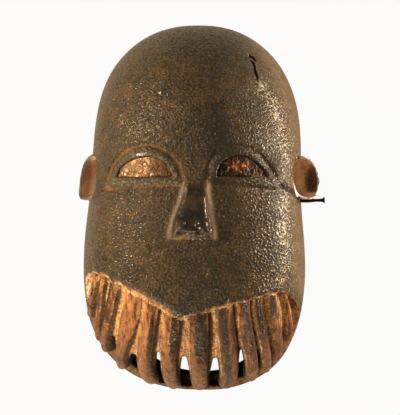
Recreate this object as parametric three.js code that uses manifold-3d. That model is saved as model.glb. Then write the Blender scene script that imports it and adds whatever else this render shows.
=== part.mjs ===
// A carved wooden mask of a spirit face: a deep domed shell with half-moon eyes, a wedge nose,
// cupped ears and a wide mouth of upright slats.
// Millimetres. +Z comes out of the face, +Y runs up to the crown, +X runs to the viewer's right.
// The mask lies on its flat back rim, which is the plane z = 0.
import * as THREE from "three";
import { mergeVertices } from "three/addons/utils/BufferGeometryUtils.js";
import Module from "manifold-3d";

// Driving dimensions, in millimetres.
const HALF_WIDTH_BROW = 85.2;
const HALF_WIDTH_JAW = 91.4;
const DOME_DEPTH = 126.5;
const CROWN_REACH = 118.2;
const CHIN_REACH = 181.8;
const BROW_LINE = 32.9;
const SECTION_POWER = 2.11;
const CROWN_POWER = 2.86;
const CHIN_POWER = 5.18;
const WALL = 11.5;
const HOLLOW_SHIFT_X = 2.5;
const CHIN_RIM = 2.9;
const MOUTH_RIM_HEIGHT = 27;
const MOUTH_RECESS = 7.5;
const SLOT_OUTWARDS = 14;
const SLOT_INWARDS = 62;
const GROOVE_DEPTH = 2.2;
const GROOVE_WIDTH = 3.2;
const LID_PROUD = 1.4;
const INLAY_BED = 2.6;
const INLAY_SHEET = 0.8;
const CLEARANCE = 0.3;
const NOSE_LENGTH = 43;
const NOSE_PROUD = 14.5;
const EAR_WALL = 2.2;
const CRACK_DEPTH = 4;
const NAIL_RADIUS = 1.25;
const NAIL_OUT = 16.5;
const NAIL_IN = 8.5;

const wasm = await Module();
wasm.setup();
const { Manifold, Mesh: SolidMesh } = wasm;

// Numbers and outlines.

const clamp01 = (v) => Math.min(1, Math.max(0, v));

function ease(from, to, v) {
  const t = clamp01((v - from) / (to - from));
  return t * t * (3 - 2 * t);
}

function lerp(a, b, t) {
  return a + (b - a) * t;
}

const halfWidth = (y) => lerp(HALF_WIDTH_BROW, HALF_WIDTH_JAW, ease(BROW_LINE, -61, y));
const squareness = (y) => 2.3 + 0.7 * ease(111, 0, y);
const centreLine = (y) => -2.04 * ease(61, -40, y) + 2.98 * ease(-101, -152, y);

// Negative inside the dome, zero on it. inset moves the whole surface inwards.
function dome(x, y, z, inset = 0, chinPower = CHIN_POWER, shift = 0) {
  const r = squareness(y);
  const across = Math.abs(x - centreLine(y) - shift) / (halfWidth(y) - inset);
  const deep = Math.abs(z) / (DOME_DEPTH - inset);
  const up = Math.max(0, (y - BROW_LINE) / (CROWN_REACH - inset));
  const down = Math.max(0, (BROW_LINE - y) / (CHIN_REACH - inset));
  const section = (across ** r + deep ** r) ** (SECTION_POWER / r);
  return section + up ** CROWN_POWER + down ** chinPower - 1;
}

// Distance along a ray at which the given surface is crossed.
function reach(origin, direction, surface, far = 330) {
  let low = 0;
  let high = far;
  for (let step = 0; step < 34; step += 1) {
    const mid = (low + high) / 2;
    const inside = surface(
      origin.x + direction.x * mid,
      origin.y + direction.y * mid,
      origin.z + direction.z * mid,
    ) < 0;
    if (inside) low = mid;
    else high = mid;
  }
  return (low + high) / 2;
}

// Height of the dome over a point of the plan.
function domeHeight(x, y, inset = 0) {
  const r = squareness(y);
  const up = Math.max(0, (y - BROW_LINE) / (CROWN_REACH - inset));
  const down = Math.max(0, (BROW_LINE - y) / (CHIN_REACH - inset));
  const left = Math.max(0, 1 - up ** CROWN_POWER - down ** CHIN_POWER);
  const across = Math.abs(x - centreLine(y)) / (halfWidth(y) - inset);
  return (DOME_DEPTH - inset) * Math.max(0, left ** (r / SECTION_POWER) - across ** r) ** (1 / r);
}

function domeNormal(point) {
  const e = 0.4;
  const at = (x, y, z) => dome(x, y, z);
  const normal = new THREE.Vector3(
    at(point.x + e, point.y, point.z) - at(point.x - e, point.y, point.z),
    at(point.x, point.y + e, point.z) - at(point.x, point.y - e, point.z),
    at(point.x, point.y, point.z + e) - at(point.x, point.y, point.z - e),
  );
  return normal.normalize();
}

function onDome(x, y, lift = 0) {
  const point = new THREE.Vector3(x, y, domeHeight(x, y));
  return point.addScaledVector(domeNormal(point), lift);
}

// Solids.

function solid(geometry) {
  const bare = new THREE.BufferGeometry();
  bare.setAttribute("position", geometry.getAttribute("position").clone());
  if (geometry.index) bare.setIndex(geometry.index.clone());
  const welded = mergeVertices(bare, 1e-3);
  const index = [];
  const source = welded.index.array;
  for (let i = 0; i < source.length; i += 3) {
    const [a, b, c] = [source[i], source[i + 1], source[i + 2]];
    if (a !== b && b !== c && a !== c) index.push(a, b, c);
  }
  const mesh = new SolidMesh({
    numProp: 3,
    vertProperties: new Float32Array(welded.getAttribute("position").array),
    triVerts: new Uint32Array(index),
  });
  mesh.merge();
  const made = new Manifold(mesh);
  return made.volume() < 0 ? solidFlipped(welded, index) : made;
}

function solidFlipped(welded, index) {
  const flipped = [];
  for (let i = 0; i < index.length; i += 3) flipped.push(index[i], index[i + 2], index[i + 1]);
  const mesh = new SolidMesh({
    numProp: 3,
    vertProperties: new Float32Array(welded.getAttribute("position").array),
    triVerts: new Uint32Array(flipped),
  });
  mesh.merge();
  return new Manifold(mesh);
}

function reshape(geometry, move) {
  const position = geometry.getAttribute("position");
  const vertex = new THREE.Vector3();
  for (let i = 0; i < position.count; i += 1) {
    vertex.fromBufferAttribute(position, i);
    const moved = move(vertex);
    position.setXYZ(i, moved.x, moved.y, moved.z);
  }
  return geometry;
}

function block(sizeX, sizeY, sizeZ, x, y, z, tiltX = 0) {
  const geometry = new THREE.BoxGeometry(sizeX, sizeY, sizeZ);
  geometry.rotateX(tiltX);
  geometry.translate(x, y, z);
  return solid(geometry);
}

// A closed dome-shaped body, round on both sides of z = 0.
function domeSolid(around, rings, inset, surface) {
  const shell = surface ?? ((x, y, z) => dome(x, y, z, inset));
  const geometry = new THREE.SphereGeometry(1, around, rings);
  geometry.rotateX(Math.PI / 2);
  const origin = new THREE.Vector3(0, 0, 0);
  const direction = new THREE.Vector3();
  return solid(reshape(geometry, (v) => {
    direction.set(v.x * 88, v.y * 148, v.z * 126);
    if (direction.length() < 1e-6) return v;
    direction.normalize();
    return direction.clone().multiplyScalar(reach(origin, direction, shell));
  }));
}

// A prism over a plan outline, given as [x, y] points.
function prism(points, low, high) {
  const shape = new THREE.Shape(points.map(([x, y]) => new THREE.Vector2(x, y)));
  const geometry = new THREE.ExtrudeGeometry(shape, { depth: high - low, bevelEnabled: false, steps: 1 });
  geometry.translate(0, 0, low);
  return solid(geometry);
}

// A rounded bar bent along a path. frame(t) gives its centre, its two half sizes and its two sides.
function bar(frame, around = 10, along = 10, cap = 3) {
  const geometry = new THREE.CapsuleGeometry(1, 4, cap, around, along);
  return solid(reshape(geometry, (v) => {
    const t = clamp01((v.y + 3) / 6);
    const { centre, side, up, halfSide, halfUp } = frame(t);
    return centre.clone()
      .addScaledVector(side, v.x * halfSide)
      .addScaledVector(up, v.z * halfUp);
  }));
}

// The shell.

const outer = domeSolid(56, 32, 0);
const aboveRim = block(400, 500, 300, 0, 0, 150);

// Behind the corners of the mouth the hollow is rounder at the rim than deep inside, and under the
// mouth the rim is thicker.
const hollowPower = (z) => lerp(3.4, 4.8, ease(0, 60, z));
const chinRim = (y, z) => CHIN_RIM * (1 - ease(0, 34, z)) * ease(-95, -130, y);
const hollow = domeSolid(30, 18, 0, (x, y, z) => {
  const height = Math.abs(z);
  return dome(x, y - chinRim(y, height), z, WALL, hollowPower(height), HOLLOW_SHIFT_X * (1 - ease(0, 70, height)));
});

let body = outer.intersect(aboveRim);

// The ears.

// A cup with an outline that is given by its four half sizes, open towards the face side.
function earCup(spec, thicker) {
  const geometry = new THREE.SphereGeometry(1, 16, 8);
  geometry.rotateX(Math.PI / 2);
  const grown = spec.depth + thicker;
  reshape(geometry, (v) => {
    const outwards = Math.sign(v.x || 1) === spec.side;
    const reachX = (outwards ? spec.out : spec.inwards) + thicker;
    const reachY = (v.y > 0 ? spec.up : spec.down) + thicker;
    const flat = Math.hypot(v.x, v.y);
    const angle = Math.atan2(v.y, v.x);
    const power = outwards && v.y < 0 ? spec.cornerPower : 2.2;
    const c = Math.abs(Math.cos(angle));
    const s = Math.abs(Math.sin(angle));
    const round = flat > 1e-6 ? 1 / (c ** power + s ** power) ** (1 / power) : 0;
    const wide = flat ** 0.75 * round;
    return new THREE.Vector3(
      Math.cos(angle) * wide * reachX + Math.sin(angle) * wide * reachY * spec.lean,
      Math.sin(angle) * wide * reachY,
      v.z * grown,
    );
  });
  geometry.rotateY(spec.turn);
  geometry.rotateX(spec.nod);
  geometry.translate(spec.x, spec.y, spec.z);
  return solid(geometry);
}

function ear(spec) {
  const cup = earCup(spec, EAR_WALL);
  const cavity = earCup(spec, 0);
  const above = new THREE.BoxGeometry(80, 80, 60);
  above.translate(0, 0, 30);
  above.rotateY(spec.turn);
  above.rotateX(spec.nod);
  above.translate(spec.x, spec.y, spec.z);
  return cup.subtract(solid(above)).subtract(cavity);
}

const EAR_RIGHT = {
  side: 1, x: 86.9, y: 24.4, z: 70.5, out: 9.8, inwards: 10.4, up: 14.8, down: 15.0,
  depth: 24, turn: 0.3, nod: 0, lean: -0.13, cornerPower: 2.4,
};
const EAR_LEFT = {
  side: -1, x: -81.2, y: 25.6, z: 68, out: 7.9, inwards: 9.4, up: 15.6, down: 16.6,
  depth: 24, turn: -0.2, nod: 0, lean: 0.13, cornerPower: 5,
};
const EARS = [EAR_RIGHT, EAR_LEFT];

for (const spec of EARS) body = body.add(ear(spec));
for (const spec of EARS) body = body.subtract(earCup(spec, 0));

// The nose.

// v runs from the root of the nose to its lower edge. The front is narrower than the base.
const noseLine = (v) => lerp(4.2, 0.4, ease(0, 0.9, v));
const noseHalf = (v) => 8.2 + 8.3 * ease(0.05, 0.95, v);
const noseProud = (v) => 1.6 + (NOSE_PROUD - 1.6) * v ** 1.25;

const noseGeometry = new THREE.BoxGeometry(2, 1, 1, 6, 7, 2);
reshape(noseGeometry, (p) => {
  const v = 0.5 - p.y;
  const w = p.z + 0.5;
  const y = 20.4 - NOSE_LENGTH * v * (1 - 0.11 * w * v);
  const taper = lerp(1.0, lerp(0.76, 0.85, v), ease(0, 1, w));
  const x = noseLine(v) - 0.9 * w + p.x * noseHalf(v) * taper;
  const crown = 1 - 0.16 * Math.abs(p.x) ** 2.4;
  const low = domeHeight(x, y) - 4;
  const high = domeHeight(noseLine(v), y) + noseProud(v) * crown;
  return new THREE.Vector3(x, y, lerp(low, high, w));
});
let nose = solid(noseGeometry);

for (const side of [-1, 1]) {
  const hollowNostril = new THREE.SphereGeometry(1, 8, 5);
  hollowNostril.scale(4.6, 3.2, 5.6);
  hollowNostril.rotateZ(side * -0.35);
  hollowNostril.translate(noseLine(1) - 0.6 + side * 8.4, -20.6, domeHeight(0, -22) + 8.4);
  nose = nose.subtract(solid(hollowNostril));
}
body = body.add(nose);

// The eyes.

// Each eye is a half moon. Every line is given in plan, from the viewer's left to the right.
const EYES = {
  left: {
    lid: [[-62.2, 19.6], [-60.2, 25.8], [-56.7, 33.0], [-48.4, 40.0], [-36.1, 42.7],
      [-24.5, 41.0], [-16.6, 34.4], [-12.3, 27.4], [-10.9, 20.4]],
    groove: [[-65.0, 17.0], [-64.2, 24.0], [-60.7, 33.0], [-51.6, 43.0], [-38.5, 48.0],
      [-24.5, 46.2], [-14.4, 39.4], [-8.2, 30.7], [-6.4, 19.4]],
    bed: [[-57.9, 23.9], [-54.4, 31.6], [-46.9, 37.0], [-38.1, 39.3], [-29.6, 39.2],
      [-21.7, 36.1], [-16.3, 30.0], [-13.9, 23.9]],
    lower: [[-66.0, 19.2], [-50.6, 19.9], [-31.1, 20.5], [-8.6, 21.0]],
    line: [[-68.3, 14.6], [-50.6, 15.8], [-31.1, 16.9], [-7.6, 17.7]],
  },
  right: {
    lid: [[16.6, 20.4], [17.5, 24.6], [19.1, 30.7], [24.6, 38.2], [33.7, 42.3],
      [42.6, 41.7], [50.6, 35.6], [57.5, 26.4], [62.6, 18.2]],
    groove: [[12.6, 19.4], [12.8, 25.4], [14.2, 34.4], [20.0, 42.1], [29.9, 46.9],
      [41.5, 46.4], [51.7, 40.2], [60.0, 30.0], [67.2, 16.6]],
    bed: [[19.3, 23.9], [20.4, 30.9], [25.5, 37.0], [33.7, 40.2], [42.7, 39.1],
      [50.2, 34.4], [56.1, 28.0], [58.6, 23.9]],
    lower: [[13.2, 21.0], [29.2, 20.6], [47.9, 19.6], [64.8, 17.2]],
    line: [[12.2, 17.8], [29.2, 17.1], [47.9, 15.6], [68.4, 12.6]],
  },
};

function planCurve(points) {
  const spots = points.map(([x, y]) => new THREE.Vector3(x, y, 0));
  return new THREE.CatmullRomCurve3(spots, false, "centripetal");
}

function curvePoints(points, count) {
  const curve = planCurve(points);
  return curve.getSpacedPoints(count).map((p) => [p.x, p.y]);
}

// The outline of a strip along a line, from one side distance to the other.
function strip(points, count, sideA, sideB) {
  const line = curvePoints(points, count);
  const one = [];
  const two = [];
  for (let i = 0; i < line.length; i += 1) {
    const before = line[Math.max(0, i - 1)];
    const after = line[Math.min(line.length - 1, i + 1)];
    const dx = after[0] - before[0];
    const dy = after[1] - before[1];
    const length = Math.hypot(dx, dy);
    const nx = -dy / length;
    const ny = dx / length;
    one.push([line[i][0] + nx * sideA, line[i][1] + ny * sideA]);
    two.push([line[i][0] + nx * sideB, line[i][1] + ny * sideB]);
  }
  return one.concat(two.reverse());
}

const shallow = domeSolid(36, 20, GROOVE_DEPTH);
const inlays = {};

// A raised bar that follows a plan line on the dome.
function lidBar(points, halfAcross, halfUp, lift, along) {
  const curve = planCurve(points);
  return bar((t) => {
    const at = curve.getPointAt(t);
    const tangent = curve.getTangentAt(t);
    const centre = onDome(at.x, at.y, lift - halfUp);
    const up = domeNormal(centre);
    const side = new THREE.Vector3().crossVectors(up, tangent).normalize();
    const fade = Math.sin(Math.PI * (0.16 + 0.68 * t)) ** 0.5;
    return { centre, side, up, halfSide: halfAcross * fade, halfUp: halfUp * (0.7 + 0.3 * fade) };
  }, 6, along, 1);
}

for (const eye of Object.values(EYES)) {
  const groove = prism(strip(eye.groove, 11, -GROOVE_WIDTH / 2, GROOVE_WIDTH / 2), 60, 150);
  body = body.subtract(groove.subtract(shallow));
  const under = prism(strip(eye.line, 4, -1.4, 1.4), 60, 150);
  body = body.subtract(under.subtract(shallow));
}

for (const eye of Object.values(EYES)) {
  body = body.add(lidBar(eye.lid, 2.9, 3.4, LID_PROUD, 9));
  body = body.add(lidBar(eye.lower, 2.9, 3.4, LID_PROUD, 5));
}

const bedFloor = domeSolid(36, 20, INLAY_BED);
const sheetBack = domeSolid(36, 20, INLAY_BED - CLEARANCE);
const sheetFront = domeSolid(36, 20, INLAY_BED - CLEARANCE - INLAY_SHEET);

function shrinkOutline(points, by) {
  const centreX = points.reduce((sum, p) => sum + p[0], 0) / points.length;
  const centreY = points.reduce((sum, p) => sum + p[1], 0) / points.length;
  return points.map(([x, y]) => {
    const length = Math.hypot(x - centreX, y - centreY);
    const k = (length - by) / length;
    return [centreX + (x - centreX) * k, centreY + (y - centreY) * k];
  });
}

for (const [name, eye] of Object.entries(EYES)) {
  const outline = curvePoints(eye.bed, 12);
  body = body.subtract(prism(outline, 60, 150).subtract(bedFloor));
  const inner = shrinkOutline(outline, 0.45);
  inlays[name] = prism(inner, 60, 150).intersect(sheetFront).subtract(sheetBack);
}
// The mouth.

const LIP = [
  [-120, -57.9], [-87.3, -57.9], [-85.7, -53.7], [-82.1, -50.5], [-76.6, -48.6], [-71.1, -49.0],
  [-64.3, -51.6], [-52.9, -57], [-31.2, -68], [-19.9, -74.8], [-7.9, -81.8], [6.5, -77.8],
  [29.1, -70.9], [53.2, -64.7], [63.8, -62.7], [70, -63.4], [75.5, -66.7], [80.4, -73.4],
  [83.2, -82.3], [120, -82.3],
];
const sideLine = new THREE.BoxGeometry(300, 300, 300);
sideLine.translate(0, 0, 150);
sideLine.rotateX(Math.atan(0.87));
sideLine.translate(0, -105, MOUTH_RIM_HEIGHT);

const mouthWindow = prism([...LIP, [120, -200], [-120, -200]], MOUTH_RIM_HEIGHT, 200)
  .intersect(solid(sideLine));
const recessed = domeSolid(28, 14, MOUTH_RECESS);
body = body.subtract(mouthWindow.subtract(recessed));

// Slats, from the viewer's left: top and middle in plan, the toe as its place across and its height
// over the rim plane, and the half widths above and at the toe.
const SLATS = [
  { top: [-81.6, -53.0], middle: [-84.6, -70.0], toe: [-85.5, 52], half: 3.0, toeHalf: 2.6 },
  { top: [-73.6, -50.0], middle: [-78.4, -86.0], toe: [-77.6, 58], half: 3.6, toeHalf: 3.0 },
  { top: [-62.4, -54.0], middle: [-71.2, -91.0], toe: [-72.4, 50], half: 5.2, toeHalf: 4.0 },
  { top: [-46.6, -60.0], middle: [-54.0, -97.0], toe: [-59.4, 35], half: 9.2, toeHalf: 4.6 },
  { top: [-31.6, -68.0], middle: [-37.6, -107.0], toe: [-35.2, 28], half: 7.7, toeHalf: 6.6 },
  { top: [-15.6, -75.0], middle: [-18.0, -108.0], toe: [-17.6, 24], half: 8.0, toeHalf: 6.5 },
  { top: [4.8, -76.0], middle: [4.6, -110.0], toe: [2.2, 21], half: 9.6, toeHalf: 7.3 },
  { top: [25.6, -71.0], middle: [28.0, -107.0], toe: [22.6, 21.5], half: 8.5, toeHalf: 7.4 },
  { top: [41.8, -66.0], middle: [44.6, -103.0], toe: [43.2, 27], half: 6.6, toeHalf: 5.2 },
  { top: [54.0, -62.0], middle: [56.0, -97.0], toe: [55.4, 31], half: 5.0, toeHalf: 4.2 },
  { top: [64.4, -58.0], middle: [67.6, -91.0], toe: [64.4, 37], half: 6.4, toeHalf: 4.4 },
  { top: [73.2, -63.0], middle: [78.0, -88.0], toe: [75.2, 46], half: 3.6, toeHalf: 2.9 },
];
const MOUTH_CENTRE = new THREE.Vector3(0, -62, 0);
const SLAT_HALF_DEPTH = 7.4;
const CREST_TOP = -3.0;
const CREST_TOE = 1.2;

// The place under the mouth where the dome, moved in by inset, reaches out furthest at a height.
function onChin(x, z, inset) {
  const origin = new THREE.Vector3(x, -40, z);
  const down = new THREE.Vector3(0, -1, 0);
  return origin.clone().addScaledVector(down, reach(origin, down, (a, b, c) => dome(a, b, c, inset)));
}

function slatFrame(spec) {
  const surface = (x, y, z) => dome(x, y, z);
  const [start, middle, end] = [onDome(...spec.top), onDome(...spec.middle), onChin(...spec.toe, 0)]
    .map((point) => point.sub(MOUTH_CENTRE).normalize());
  const bend = middle.clone().multiplyScalar(2).addScaledVector(start, -0.5).addScaledVector(end, -0.5);
  const at = (t) => {
    const direction = start.clone().multiplyScalar((1 - t) ** 2)
      .addScaledVector(bend, 2 * t * (1 - t))
      .addScaledVector(end, t * t)
      .normalize();
    return MOUTH_CENTRE.clone().addScaledVector(direction, reach(MOUTH_CENTRE, direction, surface));
  };
  return (t) => {
    const point = at(t);
    const tangent = at(Math.min(1, t + 0.02)).sub(at(Math.max(0, t - 0.02))).normalize();
    const up = domeNormal(point);
    const side = new THREE.Vector3().crossVectors(up, tangent).normalize();
    const crest = lerp(CREST_TOP, CREST_TOE, ease(0.1, 0.95, t));
    return {
      centre: point.addScaledVector(up, crest - SLAT_HALF_DEPTH),
      side,
      up,
      halfSide: lerp(spec.half, spec.toeHalf, ease(0.3, 0.78, t)),
      halfUp: SLAT_HALF_DEPTH,
    };
  };
}

// Slots between the slats, from the viewer's left: the plan place of the pointed top, the place
// across and the height of the foot, the half width, and how steeply the slot is cut.
const SLOTS = [
  { top: [-64.0, -98.5], foot: [-65.4, 53], half: 2.7, steep: 0.1 },
  { top: [-46.8, -113.0], foot: [-49.4, 33], half: 5.6, steep: 0.3 },
  { top: [-26.8, -112.4], foot: [-27.6, 26], half: 3.6, steep: 0.72 },
  { top: [-6.9, -115.4], foot: [-8.2, 26], half: 4.6, steep: 1 },
  { top: [17.0, -116.6], foot: [14.2, 26], half: 4.4, steep: 1 },
  { top: [37.8, -108.6], foot: [36.2, 34], half: 3.5, steep: 0.9 },
  { top: [51.6, -112.0], foot: [50.6, 40], half: 2.4, steep: 0.3 },
  { top: [62.8, -108.0], foot: [61.0, 42], half: 1.6, steep: 0.2 },
];
const SLOT_INSET = 4;
const STEEPEST = new THREE.Vector3(0, 0.34, -0.94);

function slotSolid(spec) {
  const [topX, topY] = spec.top;
  const top = new THREE.Vector3(topX, topY, domeHeight(topX, topY, SLOT_INSET));
  const run = onChin(...spec.foot, SLOT_INSET).sub(top);
  const middle = top.clone().addScaledVector(run, 0.5);
  const into = domeNormal(middle).negate().lerp(STEEPEST, spec.steep).normalize();
  const along = run.clone().addScaledVector(into, -run.dot(into));
  const length = along.length();
  along.normalize();
  const across = new THREE.Vector3().crossVectors(along, into);
  const h = spec.half;
  const shape = new THREE.Shape();
  shape.moveTo(h * 0.3, 0);
  shape.lineTo(h * 0.66, length * 0.22);
  shape.lineTo(h, length * 0.6);
  shape.lineTo(h, length);
  shape.lineTo(-h, length);
  shape.lineTo(-h, length * 0.6);
  shape.lineTo(-h * 0.66, length * 0.22);
  shape.lineTo(-h * 0.3, 0);
  const geometry = new THREE.ExtrudeGeometry(shape, {
    depth: SLOT_OUTWARDS + SLOT_INWARDS, bevelEnabled: false, steps: 1,
  });
  geometry.translate(0, 0, -SLOT_OUTWARDS);
  geometry.applyMatrix4(new THREE.Matrix4().makeBasis(across, along, into).setPosition(top));
  return solid(geometry);
}

for (const spec of SLOTS) body = body.subtract(slotSolid(spec));
for (const spec of SLATS) body = body.add(bar(slatFrame(spec), 8, 6, 2));

// Hollow, crack, pit and nail hole.

body = body.subtract(hollow).intersect(aboveRim);

const crackLine = [
  [39.4, 124.6], [42.2, 120.4], [44.6, 116.6], [45.2, 112.4], [46.9, 107.2], [48.4, 102.2], [49.6, 98.0],
];
const crackWide = [0.25, 0.8, 1.0, 0.7, 0.75, 0.55, 0.15];
const crackSides = [
  ...crackLine.map(([x, y], i) => [x + crackWide[i], y + crackWide[i] * 0.4]),
  ...crackLine.map(([x, y], i) => [x - crackWide[i], y - crackWide[i] * 0.4]).reverse(),
];
body = body.subtract(prism(crackSides, 40, 130).subtract(domeSolid(36, 20, CRACK_DEPTH)));

const pit = new THREE.SphereGeometry(1.7, 10, 6);
pit.translate(...onDome(-66.8, -38.4, -0.4).toArray());
body = body.subtract(solid(pit));

const NAIL_Y = 6.4;
const NAIL_Z = 45;
const NAIL_ROOT_X = 86.6;
function nailShape(points) {
  const geometry = new THREE.LatheGeometry(points.map(([r, h]) => new THREE.Vector2(r, h)), 10);
  geometry.rotateZ(-Math.PI / 2 + 0.03);
  geometry.translate(NAIL_ROOT_X, NAIL_Y, NAIL_Z);
  return solid(geometry);
}
const nail = nailShape([
  [0, -NAIL_IN], [NAIL_RADIUS * 0.55, -NAIL_IN + 1.2], [NAIL_RADIUS, -NAIL_IN + 4],
  [NAIL_RADIUS, NAIL_OUT - 2.4], [NAIL_RADIUS + 0.3, NAIL_OUT - 1.5], [2.15, NAIL_OUT - 0.9],
  [2.1, NAIL_OUT - 0.2], [1.2, NAIL_OUT], [0, NAIL_OUT],
]);
const nailHole = nailShape([
  [0, -NAIL_IN - 0.8], [NAIL_RADIUS + CLEARANCE, -NAIL_IN - 0.6],
  [NAIL_RADIUS + CLEARANCE, 8], [0, 8],
]);
body = body.subtract(nailHole);

// Meshes.

function mesh(name, made, material) {
  const data = made.getMesh();
  const geometry = new THREE.BufferGeometry();
  geometry.setAttribute("position", new THREE.BufferAttribute(new Float32Array(data.vertProperties), 3));
  geometry.setIndex(new THREE.BufferAttribute(new Uint32Array(data.triVerts), 1));
  geometry.computeVertexNormals();
  const object = new THREE.Mesh(geometry, material);
  object.name = name;
  return object;
}

const wood = new THREE.MeshStandardMaterial({ color: 0x4a3621, roughness: 0.55, metalness: 0 });
const copper = new THREE.MeshStandardMaterial({ color: 0xa9694a, roughness: 0.4, metalness: 1 });
const iron = new THREE.MeshStandardMaterial({ color: 0x2c2a29, roughness: 0.6, metalness: 1 });

const group = new THREE.Group();
group.add(mesh("mask_body", body, wood));
group.add(mesh("eye_inlay_left", inlays.left, copper));
group.add(mesh("eye_inlay_right", inlays.right, copper));
group.add(mesh("side_nail", nail, iron));

// The origin is the middle of the whole thing's plan, on the plane of the rim.
const box = new THREE.Box3().setFromObject(group);
const shift = new THREE.Vector3((box.min.x + box.max.x) / 2, (box.min.y + box.max.y) / 2, box.min.z).negate();
for (const child of group.children) child.geometry.translate(shift.x, shift.y, shift.z);

export default group;
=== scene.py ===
# %% [markdown]
# # A carved wooden mask, lying on its back rim
#
# The object is one piece of carved wood: a deep dome with half-moon eyes, a wedge nose, cupped ears and a
# mouth of upright slats. Two crumpled copper sheets lie in the eyes, and an iron nail sticks out under
# one ear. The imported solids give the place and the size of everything. This script dresses them.

# %% Load the frame
import math

import bmesh
import bpy
import numpy as np
from mathutils import Matrix, Vector
from mathutils.bvhtree import BVHTree


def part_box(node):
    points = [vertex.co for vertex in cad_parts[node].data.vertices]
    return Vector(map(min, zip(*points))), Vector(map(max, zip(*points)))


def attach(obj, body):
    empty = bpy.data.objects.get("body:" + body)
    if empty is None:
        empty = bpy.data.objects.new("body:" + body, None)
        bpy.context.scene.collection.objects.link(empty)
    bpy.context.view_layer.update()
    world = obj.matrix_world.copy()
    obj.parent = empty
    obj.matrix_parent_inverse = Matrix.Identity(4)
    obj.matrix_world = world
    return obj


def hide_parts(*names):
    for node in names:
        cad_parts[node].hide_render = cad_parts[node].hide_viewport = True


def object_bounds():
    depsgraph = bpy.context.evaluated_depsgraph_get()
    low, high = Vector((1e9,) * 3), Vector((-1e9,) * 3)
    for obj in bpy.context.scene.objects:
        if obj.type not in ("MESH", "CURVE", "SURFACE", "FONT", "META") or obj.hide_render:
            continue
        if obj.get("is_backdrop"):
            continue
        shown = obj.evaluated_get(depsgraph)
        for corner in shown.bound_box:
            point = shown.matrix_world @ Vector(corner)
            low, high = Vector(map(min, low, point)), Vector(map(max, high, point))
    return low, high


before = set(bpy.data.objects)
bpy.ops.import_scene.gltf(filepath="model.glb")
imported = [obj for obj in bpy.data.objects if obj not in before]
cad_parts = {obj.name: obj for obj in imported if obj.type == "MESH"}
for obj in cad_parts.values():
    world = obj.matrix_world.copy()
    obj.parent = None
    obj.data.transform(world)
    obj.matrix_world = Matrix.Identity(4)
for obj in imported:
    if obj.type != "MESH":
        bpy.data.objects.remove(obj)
cad_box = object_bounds()
print("solids:", sorted(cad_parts), "box", [round(v * 1000, 1) for v in (*cad_box[0], *cad_box[1])])

# %% [markdown]
# ## Where things are
#
# The carver's own measures are in millimetres, with the crown 151.1 mm above the middle line of the plan.
# The solids are moved so that their box is centred, and the same small shift is read here from the frame.

# %% Measures
MM = 0.001
HALF_WIDTH_BROW = 85.2
HALF_WIDTH_JAW = 91.4
DOME_DEPTH = 126.5
CROWN_REACH = 118.2
CHIN_REACH = 181.8
BROW_LINE = 32.9
SECTION_POWER = 2.11
CROWN_POWER = 2.86
CHIN_POWER = 5.18
WALL = 11.5
CHIN_RIM = 2.9
NAIL_ROOT = (86.6, 6.4, 45.0)
NAIL_TIP_X = 103.15
NAIL_TILT = 0.03

body_high, nail_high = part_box("mask_body")[1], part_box("side_nail")[1]
SHIFT = np.array([nail_high.x / MM - NAIL_TIP_X, body_high.y / MM - (BROW_LINE + CROWN_REACH), 0.0])
print("shift of the carving in the frame, mm:", SHIFT.round(2))


def to_frame(points):
    """Carving millimetres to metres in the frame."""
    return (np.asarray(points, float) + SHIFT) * MM


def placed(name, data):
    """A new object in the scene. It stays at the origin, so its place is in its mesh."""
    made = bpy.data.objects.new(name, data)
    bpy.context.scene.collection.objects.link(made)
    return made


def baked(obj):
    """The plain mesh of an object, its modifiers applied."""
    graph = bpy.context.evaluated_depsgraph_get()
    return bpy.data.meshes.new_from_object(obj.evaluated_get(graph), depsgraph=graph)


def smooth_shaded(mesh):
    for face in mesh.polygons:
        face.use_smooth = True


def vectors_of(items, key):
    values = np.zeros(len(items) * 3, np.float32)
    items.foreach_get(key, values)
    return values.reshape(-1, 3).astype(float)


def keep_layer(mesh, name, values, kind="FLOAT"):
    layer = mesh.attributes.new(name, kind, "POINT")
    key = "vector" if kind == "FLOAT_VECTOR" else "value"
    layer.data.foreach_set(key, np.asarray(values, np.float32).ravel())


# %% [markdown]
# ## The camera
#
# The photograph looks straight down on the mask from a little to its right, with a long lens. The
# distance and the lens come from fitting the outline, so the perspective on the jaw and the ears is that
# of the photograph.

# %% Camera
YAW = math.radians(2.5)
AIM = to_frame([1.2, 1.0, 0.0])
DISTANCE = 1.315
PHOTO_WIDTH = 400.0
FOCAL_PIXELS = 1583.0
SENSOR_WIDTH = 36.0
camera_data = bpy.data.cameras.new("camera")
camera = placed("camera", camera_data)
bpy.context.scene.camera = camera
camera_data.sensor_fit = "HORIZONTAL"
camera_data.sensor_width = SENSOR_WIDTH
camera_data.lens = SENSOR_WIDTH * FOCAL_PIXELS / PHOTO_WIDTH
camera_data.clip_start, camera_data.clip_end = 0.05, 20.0
back = Vector((math.sin(YAW), 0.0, math.cos(YAW)))
right = Vector((math.cos(YAW), 0.0, -math.sin(YAW)))
turn = Matrix((right, Vector((0.0, 1.0, 0.0)), back)).transposed()
camera.matrix_world = Matrix.Translation(Vector(AIM) + back * DISTANCE) @ turn.to_4x4()
print("camera at", [round(v, 3) for v in camera.location], "lens", round(camera_data.lens, 1))

# %% [markdown]
# ## The dome as a rule
#
# A hand-carved mask has soft edges everywhere: a lip rolls over, a groove fades out, slats melt into the
# wall. Separate meshes glued together never look like that. Here the carving is written as one distance
# rule: a number for every point of space, negative in the wood and positive in the air. Parts are joined
# and cut with a rounded minimum, which leaves the fillet that a knife leaves. First come the small tools
# for that.


# %% Rules for joining and cutting
def ease(start, end, value):
    t = np.clip((value - start) / (end - start), 0.0, 1.0)
    return t * t * (3.0 - 2.0 * t)


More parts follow.
